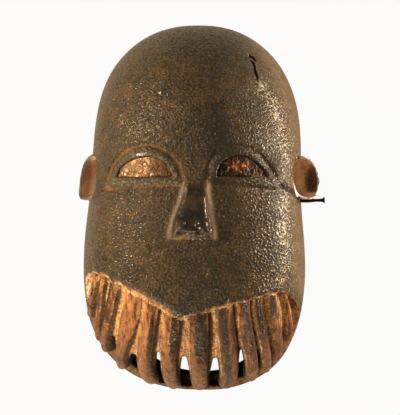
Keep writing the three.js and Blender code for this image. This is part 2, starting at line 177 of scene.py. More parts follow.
def joined(a, b, soft):
    """The union of two distances with a fillet of about that size."""
    h = np.clip(0.5 + 0.5 * (b - a) / soft, 0.0, 1.0)
    return b + (a - b) * h - soft * h * (1.0 - h)


def without(a, b, soft):
    """a with b cut away, the edge rounded."""
    return -joined(-a, b, soft)


def shared(a, b, soft):
    """What a and b have in common, the edge rounded."""
    return -joined(-a, -b, soft)


def bell(distance, width):
    return np.exp(-((distance / width) ** 2))


def cross_section(x, y, inset, shift=0.0):
    """At a place in plan: how square the section is, and the shares across, towards crown and chin."""
    square = 2.3 + 0.7 * ease(111.0, 0.0, y)
    half = HALF_WIDTH_BROW + (HALF_WIDTH_JAW - HALF_WIDTH_BROW) * ease(BROW_LINE, -61.0, y)
    middle = -2.04 * ease(61.0, -40.0, y) + 2.98 * ease(-101.0, -152.0, y)
    up = np.maximum(0.0, (y - BROW_LINE) / (CROWN_REACH - inset))
    down = np.maximum(0.0, (BROW_LINE - y) / (CHIN_REACH - inset))
    return square, np.abs(x - middle - shift) / (half - inset), up, down


def dome(x, y, z, inset=0.0, chin_power=CHIN_POWER, shift=0.0):
    """Zero on the dome, negative inside, the same rule as the solid's."""
    square, across, up, down = cross_section(x, y, inset, shift)
    deep = np.abs(z) / (DOME_DEPTH - inset)
    section = (across**square + deep**square) ** (SECTION_POWER / square)
    return section + up**CROWN_POWER + down**chin_power - 1.0


SLOPE_STEP = 0.2


def as_distance(rule, p):
    """A rule divided by its slope, which is close to the distance in millimetres near the surface."""
    value = rule(p[:, 0], p[:, 1], p[:, 2])
    slope = np.zeros(len(p))
    for axis in range(3):
        moved = p.copy()
        moved[:, axis] += SLOPE_STEP
        slope += ((rule(moved[:, 0], moved[:, 1], moved[:, 2]) - value) / SLOPE_STEP) ** 2
    return value / np.sqrt(np.maximum(slope, 1e-10))


def hollow_rule(x, y, z):
    """The hollow, with more wood left along the rim under the mouth."""
    depth = ease(0.0, 60.0, z)
    stronger = CHIN_RIM * (1.0 - ease(0.0, 34.0, z)) * ease(-95.0, -130.0, y)
    return dome(x, y - stronger, z, WALL, 3.4 + 1.4 * depth, 2.5 * (1.0 - ease(0.0, 70.0, z)))


def dome_height(x, y, inset=0.0):
    square, across, up, down = cross_section(x, y, inset)
    left = np.maximum(0.0, 1.0 - up**CROWN_POWER - down**CHIN_POWER)
    depth = np.maximum(0.0, left ** (square / SECTION_POWER) - across**square)
    return (DOME_DEPTH - inset) * depth ** (1 / square)


def dome_slope(points):
    """Unit vectors out of the dome."""
    p = np.atleast_2d(np.asarray(points, float))
    out = np.zeros_like(p)
    for axis in range(3):
        step = np.zeros(3)
        step[axis] = 0.3
        a, b = p + step, p - step
        out[:, axis] = dome(*a.T) - dome(*b.T)
    return out / np.linalg.norm(out, axis=1, keepdims=True)


print("dome height at the brow:", round(float(dome_height(np.array([0.0]), np.array([BROW_LINE]))[0]), 1))

# %% [markdown]
# ## The slats of the mouth
#
# Twelve bars run from under the lip down to the rim. They repeat, follow paths on the dome, and differ
# only in width, so Geometry Nodes make them: each path is a line of points that carries its own half
# width, depth and outward direction, and the tree sweeps a round section along it. The result is read
# back as a plain mesh, and later melted into the wood by the distance rule, because on the real mask
# slats and wall are one piece.

# %% Slat paths
# Top and middle in plan, the toe as its place across and its height over the floor, then the half width
# above and at the toe.
SLATS = [
    ((-81.6, -53.0), (-84.6, -70.0), (-85.5, 52.0), 3.0, 2.6),
    ((-73.6, -50.0), (-78.4, -86.0), (-77.6, 58.0), 3.6, 3.0),
    ((-62.4, -54.0), (-71.2, -91.0), (-72.4, 50.0), 5.2, 4.0),
    ((-46.6, -60.0), (-54.0, -97.0), (-59.4, 35.0), 9.2, 4.6),
    ((-31.6, -68.0), (-37.6, -107.0), (-35.2, 28.0), 7.7, 6.6),
    ((-15.6, -75.0), (-18.0, -108.0), (-17.6, 24.0), 8.0, 6.5),
    ((4.8, -76.0), (4.6, -110.0), (2.2, 21.0), 9.6, 7.3),
    ((25.6, -71.0), (28.0, -107.0), (22.6, 21.5), 8.5, 7.4),
    ((41.8, -66.0), (44.6, -103.0), (43.2, 27.0), 6.6, 5.2),
    ((54.0, -62.0), (56.0, -97.0), (55.4, 31.0), 5.0, 4.2),
    ((64.4, -58.0), (67.6, -91.0), (64.4, 37.0), 6.4, 4.4),
    ((73.2, -63.0), (78.0, -88.0), (75.2, 46.0), 3.6, 2.9),
]
MOUTH_CENTRE = np.array([0.0, -62.0, 0.0])
PATH_POINTS = 33


def reach(origin, directions, rule):
    """Distance along each ray at which the rule is zero."""
    low, high = np.zeros(len(directions)), np.full(len(directions), 330.0)
    for _ in range(36):
        middle = (low + high) / 2
        inside = rule(*(origin + directions * middle[:, None]).T) < 0
        low, high = np.where(inside, middle, low), np.where(inside, high, middle)
    return low


def from_centre(point):
    away = np.array(point, float) - MOUTH_CENTRE
    return away / np.linalg.norm(away)


def on_dome_at(x, y, inset=0.0):
    return np.array([x, y, float(dome_height(np.array([x]), np.array([y]), inset)[0])])


def toe_point(x, z, inset=0.0):
    """Where the dome is lowest in plan, at that height."""
    start = np.array([x, -40.0, z])
    down = np.array([[0.0, -1.0, 0.0]])
    return start + down[0] * reach(start, down, lambda *p: dome(*p, inset))[0]


SLAT_HALF_DEPTH = 7.6


def slat_path(top, middle, toe, half, toe_half):
    """Places, outward directions, half widths and half depths of one slat, from the lip to the rim."""
    a, b, c = from_centre(on_dome_at(*top)), from_centre(on_dome_at(*middle)), from_centre(toe_point(*toe))
    bend = 2.0 * b - 0.5 * (a + c)
    t = np.linspace(0.0, 1.0, PATH_POINTS)[:, None]
    rays = a * (1 - t) ** 2 + bend * 2 * t * (1 - t) + c * t**2
    rays /= np.linalg.norm(rays, axis=1, keepdims=True)
    on_dome = MOUTH_CENTRE + rays * reach(MOUTH_CENTRE, rays, dome)[:, None]
    t = t[:, 0]
    out = dome_slope(on_dome)
    crest = -2.6 + 3.6 * ease(0.1, 0.95, t)
    deep = np.full(PATH_POINTS, SLAT_HALF_DEPTH)
    wide = (half + (toe_half - half) * ease(0.3, 0.78, t)) * (1.0 - 0.14 * ease(0.78, 1.0, t))
    toe_round = np.sqrt(np.clip(1.0 - np.clip((t - 0.88) / 0.12, 0, 1) ** 2, 0.02, 1.0))
    return on_dome + out * (crest - deep)[:, None], out, wide * (0.25 + 0.75 * toe_round), deep * toe_round


paths = bpy.data.meshes.new("slat_paths")
columns = zip(*(slat_path(*slat) for slat in SLATS))
centres, outs, wides, deeps = (np.concatenate(column) for column in columns)
starts = range(0, len(centres), PATH_POINTS)
edges = [(first + i, first + i + 1) for first in starts for i in range(PATH_POINTS - 1)]
paths.from_pydata(centres.tolist(), edges, [])
keep_layer(paths, "out", outs, "FLOAT_VECTOR")
keep_layer(paths, "half_width", wides)
keep_layer(paths, "half_depth", deeps)
print(len(SLATS), "slat paths of", PATH_POINTS, "points")

# %% [markdown]
# The tree itself. A small builder keeps it readable: it adds a node, sets its plain values and links the
# rest.


# %% Node builder
def put(tree, socket, value):
    """A socket is linked, any other value is written on the input."""
    if isinstance(value, bpy.types.NodeSocket):
        tree.links.new(value, socket)
    else:
        socket.default_value = value


def add(tree, kind, inputs=None, **settings):
    """One node. A value that is a socket is linked, any other is written on the input."""
    node = tree.nodes.new(kind)
    for key, value in settings.items():
        setattr(node, key, value)
    for key, value in (inputs or {}).items():
        put(tree, node.inputs[key], value)
    return node


def group_ends(tree):
    return tree, tree.nodes.new("NodeGroupInput").outputs, tree.nodes.new("NodeGroupOutput").inputs


def new_geometry_tree(name, floats=(), integers=(), materials=()):
    """A geometry tree with named inputs, its geometry going in and out first."""
    tree = bpy.data.node_groups.new(name, "GeometryNodeTree")
    tree.interface.new_socket("Geometry", in_out="INPUT", socket_type="NodeSocketGeometry")
    for label, value in floats:
        tree.interface.new_socket(label, in_out="INPUT", socket_type="NodeSocketFloat").default_value = value
    for label, value in integers:
        tree.interface.new_socket(label, in_out="INPUT", socket_type="NodeSocketInt").default_value = value
    for label in materials:
        tree.interface.new_socket(label, in_out="INPUT", socket_type="NodeSocketMaterial")
    tree.interface.new_socket("Geometry", in_out="OUTPUT", socket_type="NodeSocketGeometry")
    return group_ends(tree)


def grown(obj, tree, values):
    """The plain mesh that a tree makes of an object. The modifier goes again."""
    modifier = obj.modifiers.new(tree.name, "NODES")
    modifier.node_group = tree
    for item in tree.interface.items_tree:
        if item.item_type == "SOCKET" and item.in_out == "INPUT" and item.name in values:
            modifier[item.identifier] = values[item.name]
    obj.update_tag()
    bpy.context.view_layer.update()
    made = baked(obj)
    obj.modifiers.remove(modifier)
    return made


def field(tree, name, kind="FLOAT"):
    node = add(tree, "GeometryNodeInputNamedAttribute", {"Name": name}, data_type=kind)
    return node.outputs["Attribute"]


def tree_of(*values):
    """The tree that the first socket among the values is in."""
    return next(value.id_data for value in values if isinstance(value, bpy.types.NodeSocket))


def maths(operation, *values):
    node = tree_of(*values).nodes.new("ShaderNodeMath")
    node.operation = operation
    for socket, value in zip(node.inputs, values):
        put(node.id_data, socket, value)
    return node.outputs[0]


def plus(a, b):
    return maths("ADD", a, b)


def minus(a, b):
    return maths("SUBTRACT", a, b)


def times(a, b):
    return maths("MULTIPLY", a, b)


def divided(a, b):
    return maths("DIVIDE", a, b)


def larger(a, b):
    return maths("MAXIMUM", a, b)


def less_and_times(value, middle, amount):
    return times(minus(value, middle), amount)


def vectors(operation, *values):
    """Vector maths of two values. SCALE takes a vector and a plain factor."""
    node = tree_of(*values).nodes.new("ShaderNodeVectorMath")
    node.operation = operation
    sockets = (node.inputs[0], node.inputs["Scale" if operation == "SCALE" else 1])
    for socket, value in zip(sockets, values):
        put(node.id_data, socket, value)
    return node.outputs["Value" if operation == "DISTANCE" else "Vector"]


# %% The slat tree
slat_tree, given, result = new_geometry_tree(
    "slat_row",
    floats=(("Crest Wear", 0.5), ("Wear Length", 14.0), ("Roundness", 0.8)),
    integers=(("Rings", 60), ("Sides", 22), ("Seed", 3)),
)
line = add(slat_tree, "GeometryNodeMeshToCurve", {"Mesh": given["Geometry"]}).outputs[0]
line = add(slat_tree, "GeometryNodeResampleCurve", {"Curve": line, "Count": given["Rings"]}).outputs[0]
along = add(slat_tree, "GeometryNodeInputTangent").outputs[0]
keep = add(slat_tree, "GeometryNodeCaptureAttribute", {"Geometry": line})
for label, kind, value in (
    ("Centre", "VECTOR", add(slat_tree, "GeometryNodeInputPosition").outputs[0]),
    ("Along", "VECTOR", along),
    ("Out", "VECTOR", field(slat_tree, "out", "FLOAT_VECTOR")),
    ("Wide", "FLOAT", field(slat_tree, "half_width")),
    ("Deep", "FLOAT", field(slat_tree, "half_depth")),
):
    keep.capture_items.new(kind, label)
    slat_tree.links.new(value, keep.inputs[label])
ring_inputs = {"Resolution": given["Sides"], "Radius": 1.0}
ring = add(slat_tree, "GeometryNodeCurvePrimitiveCircle", ring_inputs).outputs[0]
section = add(slat_tree, "GeometryNodeCaptureAttribute", {"Geometry": ring})
section.capture_items.new("VECTOR", "Round")
slat_tree.links.new(add(slat_tree, "GeometryNodeInputPosition").outputs[0], section.inputs["Round"])
swept = add(
    slat_tree,
    "GeometryNodeCurveToMesh",
    {"Curve": keep.outputs["Geometry"], "Profile Curve": section.outputs["Geometry"], "Fill Caps": True},
).outputs[0]
round_xy = add(slat_tree, "ShaderNodeSeparateXYZ", {"Vector": section.outputs["Round"]}).outputs
squared = maths("POWER", maths("ABSOLUTE", round_xy["X"]), given["Roundness"])
squared = times(squared, maths("SIGN", round_xy["X"]))
side = vectors("CROSS_PRODUCT", keep.outputs["Out"], keep.outputs["Along"])
side = vectors("NORMALIZE", side)
seeded = times(given["Seed"], 17.3)
wear = add(
    slat_tree,
    "ShaderNodeTexNoise",
    {
        "Vector": keep.outputs["Centre"],
        "W": seeded,
        "Scale": divided(1.0, given["Wear Length"]),
        "Detail": 2.0,
    },
    noise_dimensions="4D",
).outputs[0]
wear = times(minus(wear, 0.75), given["Crest Wear"])
deep = plus(keep.outputs["Deep"], wear)
sideways = vectors("SCALE", side, times(squared, keep.outputs["Wide"]))
outwards = vectors("SCALE", keep.outputs["Out"], times(round_xy["Y"], deep)
)
place = vectors("ADD", keep.outputs["Centre"], vectors("ADD", sideways, outwards))
swept = add(slat_tree, "GeometryNodeSetPosition", {"Geometry": swept, "Position": place}).outputs[0]
swept = add(slat_tree, "GeometryNodeRealizeInstances", {"Geometry": swept}).outputs[0]
finished = add(slat_tree, "GeometryNodeSetMaterial", {"Geometry": swept}).outputs[0]
slat_tree.links.new(finished, result["Geometry"])

slat_object = placed("slat_bars", paths)
slat_mesh = grown(
    slat_object,
    slat_tree,
    {"Crest Wear": 1.1, "Wear Length": 12.0, "Roundness": 0.86, "Rings": 60, "Sides": 22, "Seed": 3},
)
bpy.data.objects.remove(slat_object)
print("slats:", len(slat_mesh.vertices), "points,", len(slat_mesh.polygons), "faces")

# %% [markdown]
# One search tree for each bar answers how far a point is from it, and on which side of its surface. Each
# bar has its own, so that two bars which meet under the lip don't hide each other.

# %% Distance to the slats
slat_points = vectors_of(slat_mesh.vertices, "co")
slat_faces = [tuple(f.vertices) for f in slat_mesh.polygons]
per_slat = len(slat_points) // len(SLATS)
SEARCH_MARGIN = 4.0
SEARCH_REACH = 6.0
SLAT_TREES = []
for number in range(len(SLATS)):
    low, high = number * per_slat, (number + 1) * per_slat
    faces = [tuple(i - low for i in f) for f in slat_faces if low <= f[0] < high]
    spots = slat_points[low:high]
    search = BVHTree.FromPolygons(spots.tolist(), faces)
    SLAT_TREES.append((search, spots.min(0) - SEARCH_MARGIN, spots.max(0) + SEARCH_MARGIN))


def slat_distance(p):
    found = np.full(len(p), SEARCH_REACH)
    for search, low, high in SLAT_TREES:
        near = np.nonzero(((p > low) & (p < high)).all(1))[0]
        for index, spot in zip(near.tolist(), p[near].tolist()):
            hit, normal, _, distance = search.find_nearest(spot, SEARCH_REACH)
            if hit is None:
                continue
            outside = sum((spot[i] - hit[i]) * normal[i] for i in range(3))
            found[index] = min(found[index], distance if outside > 0 else -distance)
    return found


probe = slat_distance(np.array([[1.2, -120.0, 80.0], [0.0, 0.0, 0.0]]))
print("slat distance probe:", probe.round(2))

# %% [markdown]
# ## Eyes, nose, ears and lip
#
# The lines of the eyes, the lip and the crack are given in plan. The distance to such a line, together with
# the height over the dome, makes a round groove or a round bar that follows the surface.


# %% Lines in plan
def smooth_line(points, count=48):
    """Points along a soft curve through the given ones."""
    p = np.array(points, float)
    q = np.concatenate([2 * p[:1] - p[1:2], p, 2 * p[-1:] - p[-2:-1]])
    out = []
    pieces = len(q) - 3
    t = np.linspace(0, 1, max(3, count // pieces), endpoint=False)[:, None]
    for a, b, c, d in zip(q, q[1:], q[2:], q[3:]):
        bend, twist = 2 * a - 5 * b + 4 * c - d, 3 * b - a - 3 * c + d
        out.append(0.5 * (2 * b + (c - a) * t + bend * t**2 + twist * t**3))
    return np.concatenate([*out, p[-1:]])


def line_distance(xy, line):
    """Distance in plan to an open line, and how far along it the nearest point lies, from 0 to 1."""
    best, share = np.full(len(xy), 1e9), np.zeros(len(xy))
    for i in range(len(line) - 1):
        a, d = line[i], line[i + 1] - line[i]
        t = np.clip(((xy - a) @ d) / (d @ d), 0.0, 1.0)
        distance = np.linalg.norm(xy - a - t[:, None] * d, axis=1)
        nearer = distance < best
        best = np.where(nearer, distance, best)
        share = np.where(nearer, (i + t) / (len(line) - 1), share)
    return best, share


def area_distance(xy, outline):
    """Signed distance in plan to a closed outline, negative inside it."""
    closed = np.concatenate([outline, outline[:1]])
    distance, _ = line_distance(xy, closed)
    inside = np.zeros(len(xy), bool)
    for a, b in zip(closed[:-1], closed[1:]):
        crosses = (a[1] > xy[:, 1]) != (b[1] > xy[:, 1])
        with np.errstate(divide="ignore", invalid="ignore"):
            at = a[0] + (xy[:, 1] - a[1]) * (b[0] - a[0]) / (b[1] - a[1])
        inside ^= crosses & (xy[:, 0] < at)
    return np.where(inside, -distance, distance)


EYES = {
    "left": {
        "lid": [(-61.4, 20.4), (-59.0, 25.8), (-55.4, 32.6), (-47.8, 38.9), (-37.0, 41.3),
                (-25.2, 40.4), (-17.0, 34.4), (-12.3, 27.4), (-10.9, 20.4)],
        "lid_width": (0.56, 0.6, 1.0),
        "lid_rise": 3.6,
        "groove": [(-65.0, 17.0), (-64.2, 24.0), (-60.7, 33.0), (-51.6, 43.0), (-38.5, 48.0),
                   (-24.5, 46.2), (-14.4, 39.4), (-8.2, 30.7), (-6.4, 19.4)],
        "bed": [(-57.9, 23.9), (-54.4, 31.6), (-46.9, 37.0), (-38.1, 39.3), (-29.6, 39.2),
                (-21.7, 36.1), (-16.3, 30.0), (-13.9, 23.9)],
        "lower": [(-66.0, 19.2), (-50.6, 19.9), (-31.1, 20.5), (-8.6, 21.0)],
        "line": [(-68.3, 14.6), (-50.6, 15.8), (-31.1, 16.9), (-7.6, 17.7)],
    },
    "right": {
        "lid": [(16.6, 20.4), (17.5, 24.6), (19.1, 30.7), (24.6, 38.2), (33.7, 42.3),
                (42.6, 41.7), (50.6, 35.6), (57.5, 26.4), (62.6, 18.2)],
        "lid_width": (0.8, 0.8, 0.9),
        "lid_rise": 2.9,
        "groove": [(12.6, 19.4), (12.8, 25.4), (14.2, 34.4), (20.0, 42.1), (29.9, 46.9),
                   (41.5, 46.4), (51.7, 40.2), (60.0, 30.0), (67.2, 16.6)],
        "bed": [(19.3, 23.9), (20.4, 30.9), (25.5, 37.0), (33.7, 40.2), (42.7, 39.1),
                (50.2, 34.4), (56.1, 28.0), (58.6, 23.9)],
        "lower": [(13.2, 21.0), (29.2, 20.6), (47.9, 19.6), (64.8, 17.2)],
        "line": [(12.2, 17.8), (29.2, 17.1), (47.9, 15.6), (68.4, 12.6)],
    },
}
for eye in EYES.values():
    for part in ("lid", "groove", "lower", "line"):
        eye[part] = smooth_line(eye[part], 32)
    eye["bed"] = smooth_line(eye["bed"], 28)
LIP = np.array([
    (-120, -57.9), (-87.3, -57.9), (-85.7, -53.7), (-82.1, -50.5), (-76.6, -48.6), (-71.1, -49.0),
    (-64.3, -51.6), (-52.9, -57), (-31.2, -68), (-19.9, -74.8), (-7.9, -81.8), (6.5, -77.8),
    (29.1, -70.9), (53.2, -64.7), (63.8, -62.7), (70, -63.4), (75.5, -66.7), (80.4, -73.4),
    (83.2, -82.3), (120, -82.3), (120, -200), (-120, -200),
], float)
# The two lengths of the crack in plan, and the half width along each.
CRACKS = [
    (np.array([(40.6, 120.6), (42.9, 119.6), (45.6, 118.1), (48.2, 115.3)]), [0.4, 1.2, 1.05, 0.6]),
    (
        np.array([(44.0, 115.2), (46.4, 113.3), (47.4, 109.1), (47.9, 105.8), (49.3, 101.8), (50.4, 98.2)]),
        [0.4, 1.0, 0.9, 1.0, 1.05, 0.4],
    ),
]
CRACK_DEPTH = 2.8
SIDE_RIDGE = np.array([(75.8, -9.0), (76.2, -27.8), (75.4, -46.0)])
print("points on a lid line:", len(EYES["left"]["lid"]))

# %% [markdown]
# The slots between the slats are pointed above and blunt below. Each has its own frame: across it, along
# it and into the wall.

# %% Slots
# Top in plan, then the foot as its place across and its height, the half width, and how steeply it is cut.
SLOTS = [
    ((-64.4, -101.0), (-65.6, 51.5), 2.8, 0.1),
    ((-47.4, -116.0), (-49.8, 31.5), 5.8, 0.3),
    ((-26.8, -112.4), (-27.6, 26.0), 3.6, 0.72),
    ((-6.9, -115.4), (-8.2, 26.0), 4.6, 1.0),
    ((17.0, -116.6), (14.2, 26.0), 4.4, 1.0),
    ((37.8, -108.6), (36.2, 34.0), 3.5, 0.9),
    ((51.6, -112.0), (50.6, 40.0), 2.4, 0.3),
    ((62.8, -108.0), (61.0, 42.0), 1.6, 0.2),
]
SLOT_INSET = 4.0
STEEP = np.array([0.0, 0.34, -0.94])


def slot_frame(top, foot, steep):
    start = on_dome_at(*top, SLOT_INSET)
    end = toe_point(*foot, SLOT_INSET)
    into = -dome_slope((start + end) / 2)[0] * (1.0 - steep) + STEEP * steep
    into /= np.linalg.norm(into)
    along = end - start - into * ((end - start) @ into)
    length = np.linalg.norm(along)
    along /= length
    across = np.cross(along, into)
    return start, across, along, into, length


SLOT_FRAMES = [(*slot_frame(top, foot, steep), half) for top, foot, half, steep in SLOTS]


def slot_distance(p):
    found = np.full(len(p), 9.0)
    for start, across, along, into, length, half in SLOT_FRAMES:
        local = p - start
        a, b, c = local @ across, local @ along, local @ into
        share = np.clip(b / length, 0.0, 1.0)
        wide = half * (0.3 + 0.7 * np.clip(share / 0.6, 0, 1) ** 0.75)
        inside = shared(np.abs(a) - wide, np.maximum(b - length, -b), 1.2)
        inside = np.maximum(inside, np.maximum(-14.0 - c, c - 62.0))
        found = np.minimum(found, inside)
    return found


print("slot lengths, mm:", [round(float(s[4]), 1) for s in SLOT_FRAMES])

# %% [markdown]
# The ears are cups that open towards the face side. The rule is the same for the outside and the inside.

# %% Ears
# The last value of each ear is how pale the rim of its cup is coloured.
EARS = {
    "right": {
        "side": 1, "at": (86.9, 24.4, 70.5), "out": 9.8, "inwards": 10.4, "up": 14.8, "down": 15.0,
        "turn": 0.3, "lean": -0.13, "corner": 2.4, "stain": (3.5, 9.0), "worn_rim": 1.0,
    },
    "left": {
        "side": -1, "at": (-81.2, 25.6, 68.0), "out": 7.9, "inwards": 9.4, "up": 15.6, "down": 16.6,
        "turn": -0.2, "lean": 0.13, "corner": 5.0, "stain": (-30.0, -40.0), "worn_rim": 0.12,
    },
}
EAR_DEPTH = 24.0
EAR_WALL = 2.2


def near_ear(p, ear, top):
    """Which points are close enough to an ear, and below a height, to be asked about it."""
    x, y, z = p.T
    return np.nonzero((x * ear["side"] > 62) & (y > -4) & (y < 56) & (z > 34) & (z < top))[0]


def ear_local(p, ear):
    local = p - np.array(ear["at"])
    c, s = math.cos(ear["turn"]), math.sin(ear["turn"])
    return np.stack([c * local[:, 0] - s * local[:, 2], local[:, 1], s * local[:, 0] + c * local[:, 2]], 1)


def cup_distance(local, ear, thicker):
    def rule(x, y, z):
        x = x - y * ear["lean"]
        outwards = np.sign(x) == ear["side"]
        reach_x = np.where(outwards, ear["out"], ear["inwards"]) + thicker
        reach_y = np.where(y > 0, ear["up"], ear["down"]) + thicker
        power = np.where(outwards & (y < 0), ear["corner"], 2.2)
        flat = ((np.abs(x) / reach_x) ** power + (np.abs(y) / reach_y) ** power) ** (1 / power)
        return flat ** (8 / 3) + (z / (EAR_DEPTH + thicker)) ** 2 - 1.0

    return as_distance(rule, local)


# %% [markdown]
# The nose is a wedge: narrow and flush at its root, broad and proud at its lower edge, with two wings and
# the nostrils hollowed under them.

# %% Nose
NOSE_TOP = 20.4
NOSE_LENGTH = 43.0
NOSE_PROUD = 14.0


def nose_distance(p, over_dome):
    x, y = p[:, 0], p[:, 1]
    v = np.clip((NOSE_TOP - y) / (NOSE_LENGTH * 0.94), 0.0, 1.0)
    middle = 3.0 - 2.6 * ease(0.0, 0.9, v)
    half = 8.0 + 6.8 * ease(0.05, 0.95, v)
    proud = 1.2 + (NOSE_PROUD - 1.9) * v**1.25
    w = np.clip(over_dome / np.maximum(proud, 2.0), 0.0, 1.0)
    half = half * (1.0 - w * (0.18 - 0.06 * v))
    sides = (np.abs(x - middle + 0.4 * w) - half) * 0.94
    crown = 1.0 - 0.14 * (np.abs(x - middle) / half) ** 2
    front = over_dome - proud * crown
    lower = (NOSE_TOP - NOSE_LENGTH * (1 - 0.15 * w)) - y
    upper = y - NOSE_TOP - 1.0
    shape = shared(sides, front, 2.6)
    shape = shared(shape, lower, 2.2)
    shape = shared(shape, upper, 1.5)
    for side in (-1, 1):
        wing = np.stack([(x - 0.4 - side * 8.2) / 5.0, (y + 11.8) / 4.4, (over_dome - 8.8) / 4.4], 1)
        shape = joined(shape, (np.linalg.norm(wing, axis=1) - 1.0) * 4.6, 1.4)
    for side in (-1, 1):
        hole = np.stack([(x - 0.2 - side * 7.2) / 3.4, (y + 19.0) / 2.8, (over_dome - 7.8) / 3.6], 1)
        shape = without(shape, (np.linalg.norm(hole, axis=1) - 1.0) * 3.2, 1.2)
    return shape


# %% [markdown]
# ## The whole carving as one rule
#
# The steps are the carver's: rough out the dome, leave wood for ears and nose, cut the eyes, sink the
# mouth, leave the slats, pierce the slots, hollow the back.


# %% The carving
MOUTH_BELOW = -36.0
SUNK = 8.0
MOUTH_RIM = 27.0
NAIL_HOLE = 1.7
PIT = np.array([-66.8, -38.4, 107.6])
PIT_SIZE = np.array([1.5, 0.8, 1.0])
RIDGE_HEIGHT = 0.4
RIDGE_WIDTH = 1.4


def window_distance(p):
    """Negative in the zone of the mouth, below the lip and above the rim."""
    lip = area_distance(p[:, :2], LIP)
    rim = MOUTH_RIM - p[:, 2]
    flank = (MOUTH_RIM + (p[:, 1] + 105.0) * 0.87 - p[:, 2]) * 0.754
    return np.maximum(lip, shared(rim, flank, 6.0))


# Where the front turns into the side there is a soft shoulder: its place across for each height in plan.
SHOULDER_Y = [-64.0, -55.0, -39.0, -16.0, 3.0, 28.0, 46.0, 62.0, 74.0, 86.0, 94.0, 104.0]
SHOULDER_X = [71.0, 72.0, 73.5, 73.5, 72.0, 75.0, 75.0, 72.0, 69.0, 65.0, 60.5, 52.0]
SHOULDER_HEIGHT = 2.6


def unevenness(p):
    """The slow waviness of a hand-cut surface, with the shoulder."""
    x, y, z = p.T
    wave = np.sin(x / 19.0 + 0.6) * np.sin(y / 23.0 + 1.7) + 0.6 * np.sin(x / 11.0 + y / 17.0 + z / 13.0)
    wave += 0.45 * np.sin(y / 9.0 - x / 21.0 + 2.2) * np.sin(z / 12.0 + x / 15.0)
    edge = np.interp(y, SHOULDER_Y, SHOULDER_X)
    temple = 1.0 - 0.95 * bell(y - 26.0, 12.0)
    shoulder = bell(x - edge - 2.5, 7.5) * temple + 0.55 * bell(x - edge + 8.0, 8.5)
    shoulder -= 0.25 * bell(x - edge + 32.0, 14.0)
    shoulder += 0.35 * bell(x + edge + 1.0, 6.5)
    shoulder *= ease(106.0, 84.0, y) * ease(-64.0, -46.0, y) * ease(40.0, 70.0, z)
    return 0.16 * wave - 0.34 + SHOULDER_HEIGHT * shoulder


def with_ear(f, p, ear):
    """An ear is raised on the wood and its cup is hollowed."""
    local = ear_local(p, ear)
    outer, inner = cup_distance(local, ear, EAR_WALL), cup_distance(local, ear, 0.0)
    cup = without(shared(outer, local[:, 2], 1.6), inner, 1.2)
    return without(joined(f, cup, 2.2), inner, 1.4)


def with_eye(f, xy, h, eye):
    """Two grooves are cut, two lids raised, and the bed of the sheet sunk. h is the height over the dome."""
    groove, _ = line_distance(xy, eye["groove"])
    base, _ = line_distance(xy, eye["line"])
    f = without(f, np.hypot(groove, h - 0.2) - 1.5, 1.6)
    f = without(f, np.hypot(base, h - 0.1) - 1.3, 1.2)
    lid, share = line_distance(xy, eye["lid"])
    thick = np.interp(share, [0.0, 0.5, 0.85], eye["lid_width"])
    bar = (np.hypot(lid / (2.9 * thick), (h + 2.6) / eye["lid_rise"]) - 1.0) * 2.6
    lower, share = line_distance(xy, eye["lower"])
    thick = 0.72 + 0.28 * np.sin(np.pi * (0.16 + 0.68 * share)) ** 0.5
    under = (np.hypot(lower / (2.8 * thick), (h + 2.6) / (eye["lid_rise"] - 0.1)) - 1.0) * 2.6
    f = joined(joined(f, bar, 1.0), under, 1.0)
    return without(f, np.maximum(area_distance(xy, eye["bed"]), -(h + 2.5)), 0.7)


def with_mouth(f, p, h, window):
    """The mouth is sunk, its edge bevelled, the slots pierced, and the slats left standing."""
    sunk = shared(window - 0.34 * np.clip(h, -9.0, 0.0), -(h + SUNK), 1.5)
    f = without(f, sunk, 1.3)
    left_side = ease(-2.0, -16.0, p[:, 0]) * ease(-84.0, -70.0, p[:, 0])
    bevel = (0.8 * window - 1.9 * left_side + 3.0 * (1.0 - left_side) - h) * 0.78
    f = without(f, np.maximum(bevel, np.maximum(window - 6.0, -(h + 6.0))), 0.8)
    f = without(f, slot_distance(p), 0.8)
    low = np.nonzero((window < 7.0) & (h > -14.0) & (h < 7.0))[0]
    bars = np.full(len(p), 6.0)
    bars[low] = slat_distance(p[low])
    return joined(f, bars, 1.3)


def with_nail_hole(f, p):
    x, y, z = p.T
    root_x, root_y, root_z = NAIL_ROOT
    hole = np.hypot(y - root_y - NAIL_TILT * (x - root_x), z - root_z) - NAIL_HOLE
    return without(f, np.maximum(hole, 77.5 - x), 0.5)


